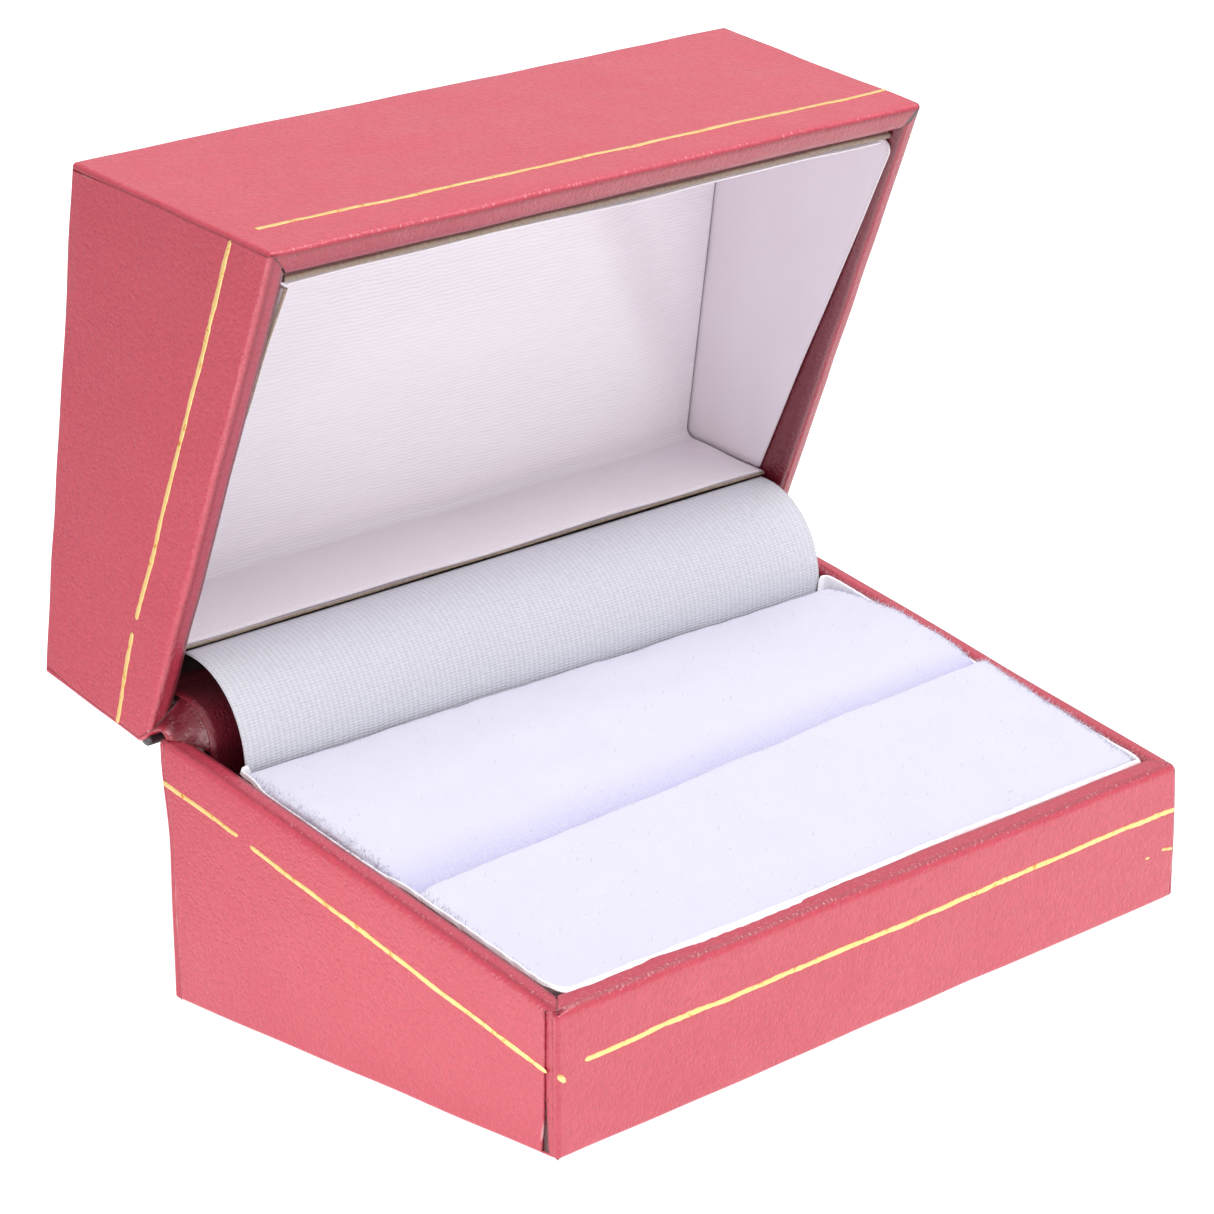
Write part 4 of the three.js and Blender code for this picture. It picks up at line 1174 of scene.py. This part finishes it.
for name, sign in (("Left", -1), ("Right", 1)):
    points, shade = end_fold(sign)
    fold = make_piece(f"Hinge_{name}_End_Fold", [{"points": points, "shade": shade}], LEATHER, None,
                      inside=(0, PIVOT[0] + 4, PIVOT[1] - 4))
    thicken(fold, 0.22)
    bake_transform(fold)
    stub = make_piece(f"Hinge_{name}_Barrel_End", [{"points": end_stub(sign)}], STEEL, "lid")

# %% [markdown]
# ## The liner of the lid
# The maker lines the lid with ribbed satin over wadding, and stands four white card flaps on edge round
# it. The satin is one sheet: down the front flap, across the ceiling, where it puffs between the flaps,
# and down the back flap. Each flap is a card plate with its own cut edges.

# %% Lining satin
liner_low, liner_high = shut_box("liner_satin")
flap_low = shut_box("liner_back_flap")[0]
FLOOR_Z = liner_high[2] - 0.3
LINING_BEND = 1.1
PUFF = 2.2


def lining():
    """Front fall, ceiling and back fall as one line in depth and height, carried along X.

    The ceiling puffs towards the room, most in its middle, and is drawn back in two slanting folds."""
    y0, y1 = liner_low[1] + 0.15, liner_high[1] - 0.15
    front_z, back_z = rim(y0) + 1.0, flap_low[2] + 0.1
    turn = np.linspace(0, np.pi / 2, 7)
    r = LINING_BEND
    fall_a = np.linspace(front_z, FLOOR_Z - r, 24)[:-1]
    fall_b = np.linspace(FLOOR_Z - r, back_z, 20)[1:]
    flat = np.linspace(y0 + r, y1 - r, 60)[1:-1]
    y = np.concatenate([np.full(23, y0), y0 + r * (1 - np.cos(turn)), flat,
                        y1 - r + r * np.sin(turn), np.full(19, y1)])
    z = np.concatenate([fall_a, FLOOR_Z - r + r * np.sin(turn), np.full(58, FLOOR_Z),
                        FLOOR_Z - r + r * np.cos(turn), fall_b])
    half = liner_high[0] + 0.12
    x = half * np.sin(np.linspace(-np.pi / 2, np.pi / 2, 120))
    points, uv, gone = carried_sheet(x, y, z)
    gx, gy = points[..., 0].copy(), points[..., 1].copy()
    on_ceiling = np.clip((gy - y0) / (y1 - y0), 0, 1)
    puff = np.sqrt(np.clip(1 - (gx / half) ** 6, 0, 1)) * np.sin(np.pi * on_ceiling) ** 0.6
    points[..., 2] -= PUFF * puff + 0.35 * puff * waves(points * [0.35, 1, 1], 8, 26, 83)
    points[..., 1] -= 0.1 * waves(points, 9, 30, 85) * (1 - puff)
    right_fold = smooth((gx - 12 - 20 * (gy + 20) / 36) / 9)
    left_fold = smooth((gy - 3 - 10 * (gx + 37) / 29) / 7) * smooth((6 - gx) / 20)
    points[..., 2] += puff * (1.9 * right_fold + 1.0 * left_fold)
    return points, uv, gone[-1], 2 * half


points, uv, lining_length, lining_width = lining()
satin = make_piece("Lid_Satin_Lining", [{"points": opened(points), "uv": uv}], LID_SATIN, "lid",
                   inside=opened(np.array([0.0, 0.0, LID_TOP + 20])))
thicken(satin, 0.16)
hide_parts("liner_satin")
print("lining flat size, mm:", round(lining_width, 1), round(lining_length, 1))

# %% Card flaps
SOFT_END = 0.002


def plate(corners, inward, thickness, seed, nose):
    """A card plate: a superellipse ring across its thickness, carried from one end to the other.

    `corners` are two top points and two bottom points of the plate's middle plane. The first top
    corner is cut off round with radius `nose`."""
    top0, top1, low0, low1 = (np.array(c, float) for c in corners)
    inward = np.array(inward, float)
    ring = np.linspace(0, 2 * np.pi, 65)
    u = np.sign(np.cos(ring)) * np.abs(np.cos(ring)) ** 0.14
    v = np.sign(np.sin(ring)) * np.abs(np.sin(ring)) ** 0.5
    s = np.concatenate([[0, 0, SOFT_END], np.linspace(0, 1, 70)[1:-1] ** 1.6, [1 - SOFT_END / 10, 1, 1]])
    size = np.concatenate([[0, 0.96], np.ones(len(s) - 4), [0.96, 0]])
    s, size, u, v = s[:, None, None], size[:, None, None], u[None, :, None], v[None, :, None]
    middle = (top0 + low0) / 2 + ((top1 + low1) / 2 - (top0 + low0) / 2) * s
    height = (top0 - low0) / 2 + ((top1 - low1) / 2 - (top0 - low0) / 2) * s
    if nose:
        left_over = np.clip(1 - s * np.linalg.norm(top1 - top0) / nose, 0, 1)
        cut = nose * (1 - np.sqrt(1 - left_over ** 2)) * (top0 - low0) / np.linalg.norm(top0 - low0) / 2
        middle = middle - cut
        height = height - cut
    points = middle + height * u * size + inward * v * size * thickness / 2
    points = points + unevenness(points, 0.05, seed, 9, 30)
    edge = smooth((u * size - 0.955) / 0.03) + 0 * s
    return points, np.clip(edge[..., 0], 0, 1)


def flap_piece(name, node, corners, inward, thickness, seed, bare=1.0, nose=0.0):
    points, edge = plate(corners, inward, thickness, seed, nose)
    piece = make_piece(name, [{"points": opened(points), "cut_edge": bare * edge}], CARD, "lid")
    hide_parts(node)


FLAP_LEAN, SIDE_THICK, BACK_THICK = 0.42, 0.4, 0.36
for side, sign in (("left", -1), ("right", 1)):
    low, high = shut_box(f"liner_{side}_flap")
    x = (low[0] + high[0]) / 2
    y0, y1 = low[1], high[1]
    top_front, top_back = rim(y0) + 0.1, rim(y1) + 3.0
    lean = FLAP_LEAN * sign
    flap_piece(f"Lid_{side.title()}_Flap", f"liner_{side}_flap",
               [(x + lean, y0, top_front), (x + lean, y1, top_back), (x, y0, high[2]), (x, y1, high[2])],
               (sign, 0, 0), SIDE_THICK, 131 + sign,
               1.0 if side == "left" else 0.15, 1.6 if side == "right" else 0.0)
for side in ("front", "back"):
    low, high = shut_box(f"liner_{side}_flap")
    if side == "back":
        high[1] = low[1] + BACK_THICK
    y = (low[1] + high[1]) / 2
    flap_piece(f"Lid_{side.title()}_Flap", f"liner_{side}_flap",
               [(low[0], y, low[2]), (high[0], y, low[2]), (low[0], y, high[2]), (high[0], y, high[2])],
               (0, 1, 0), high[1] - low[1], 151 + len(side))

# %% [markdown]
# ## Finishes for the CAD parts that stay
# The board trays, the cards under the pad and the liner, the liner's wadding, the hinge leaves, the pin
# and the rivets keep their CAD shapes and get their procedural finishes.

# %% Finishes of the kept nodes
KEPT = {"base_tray": BOARD, "lid_tray": BOARD, "pad_riser": BOARD, "pad_card": BOARD,
        "liner_card": BOARD, "liner_wadding": FOAM,
        "hinge_base_leaf": STEEL, "hinge_lid_leaf": STEEL, "hinge_pin": STEEL}
for number in (1, 2, 3):
    KEPT[f"base_rivet_{number}"] = STEEL
    KEPT[f"lid_rivet_{number}"] = STEEL
for node, finish in KEPT.items():
    holder = frame["nodes"][node]
    for place in holder.material_slots:
        place.link = "OBJECT"
        place.material = finish
print("CAD nodes that stay:", len(KEPT))
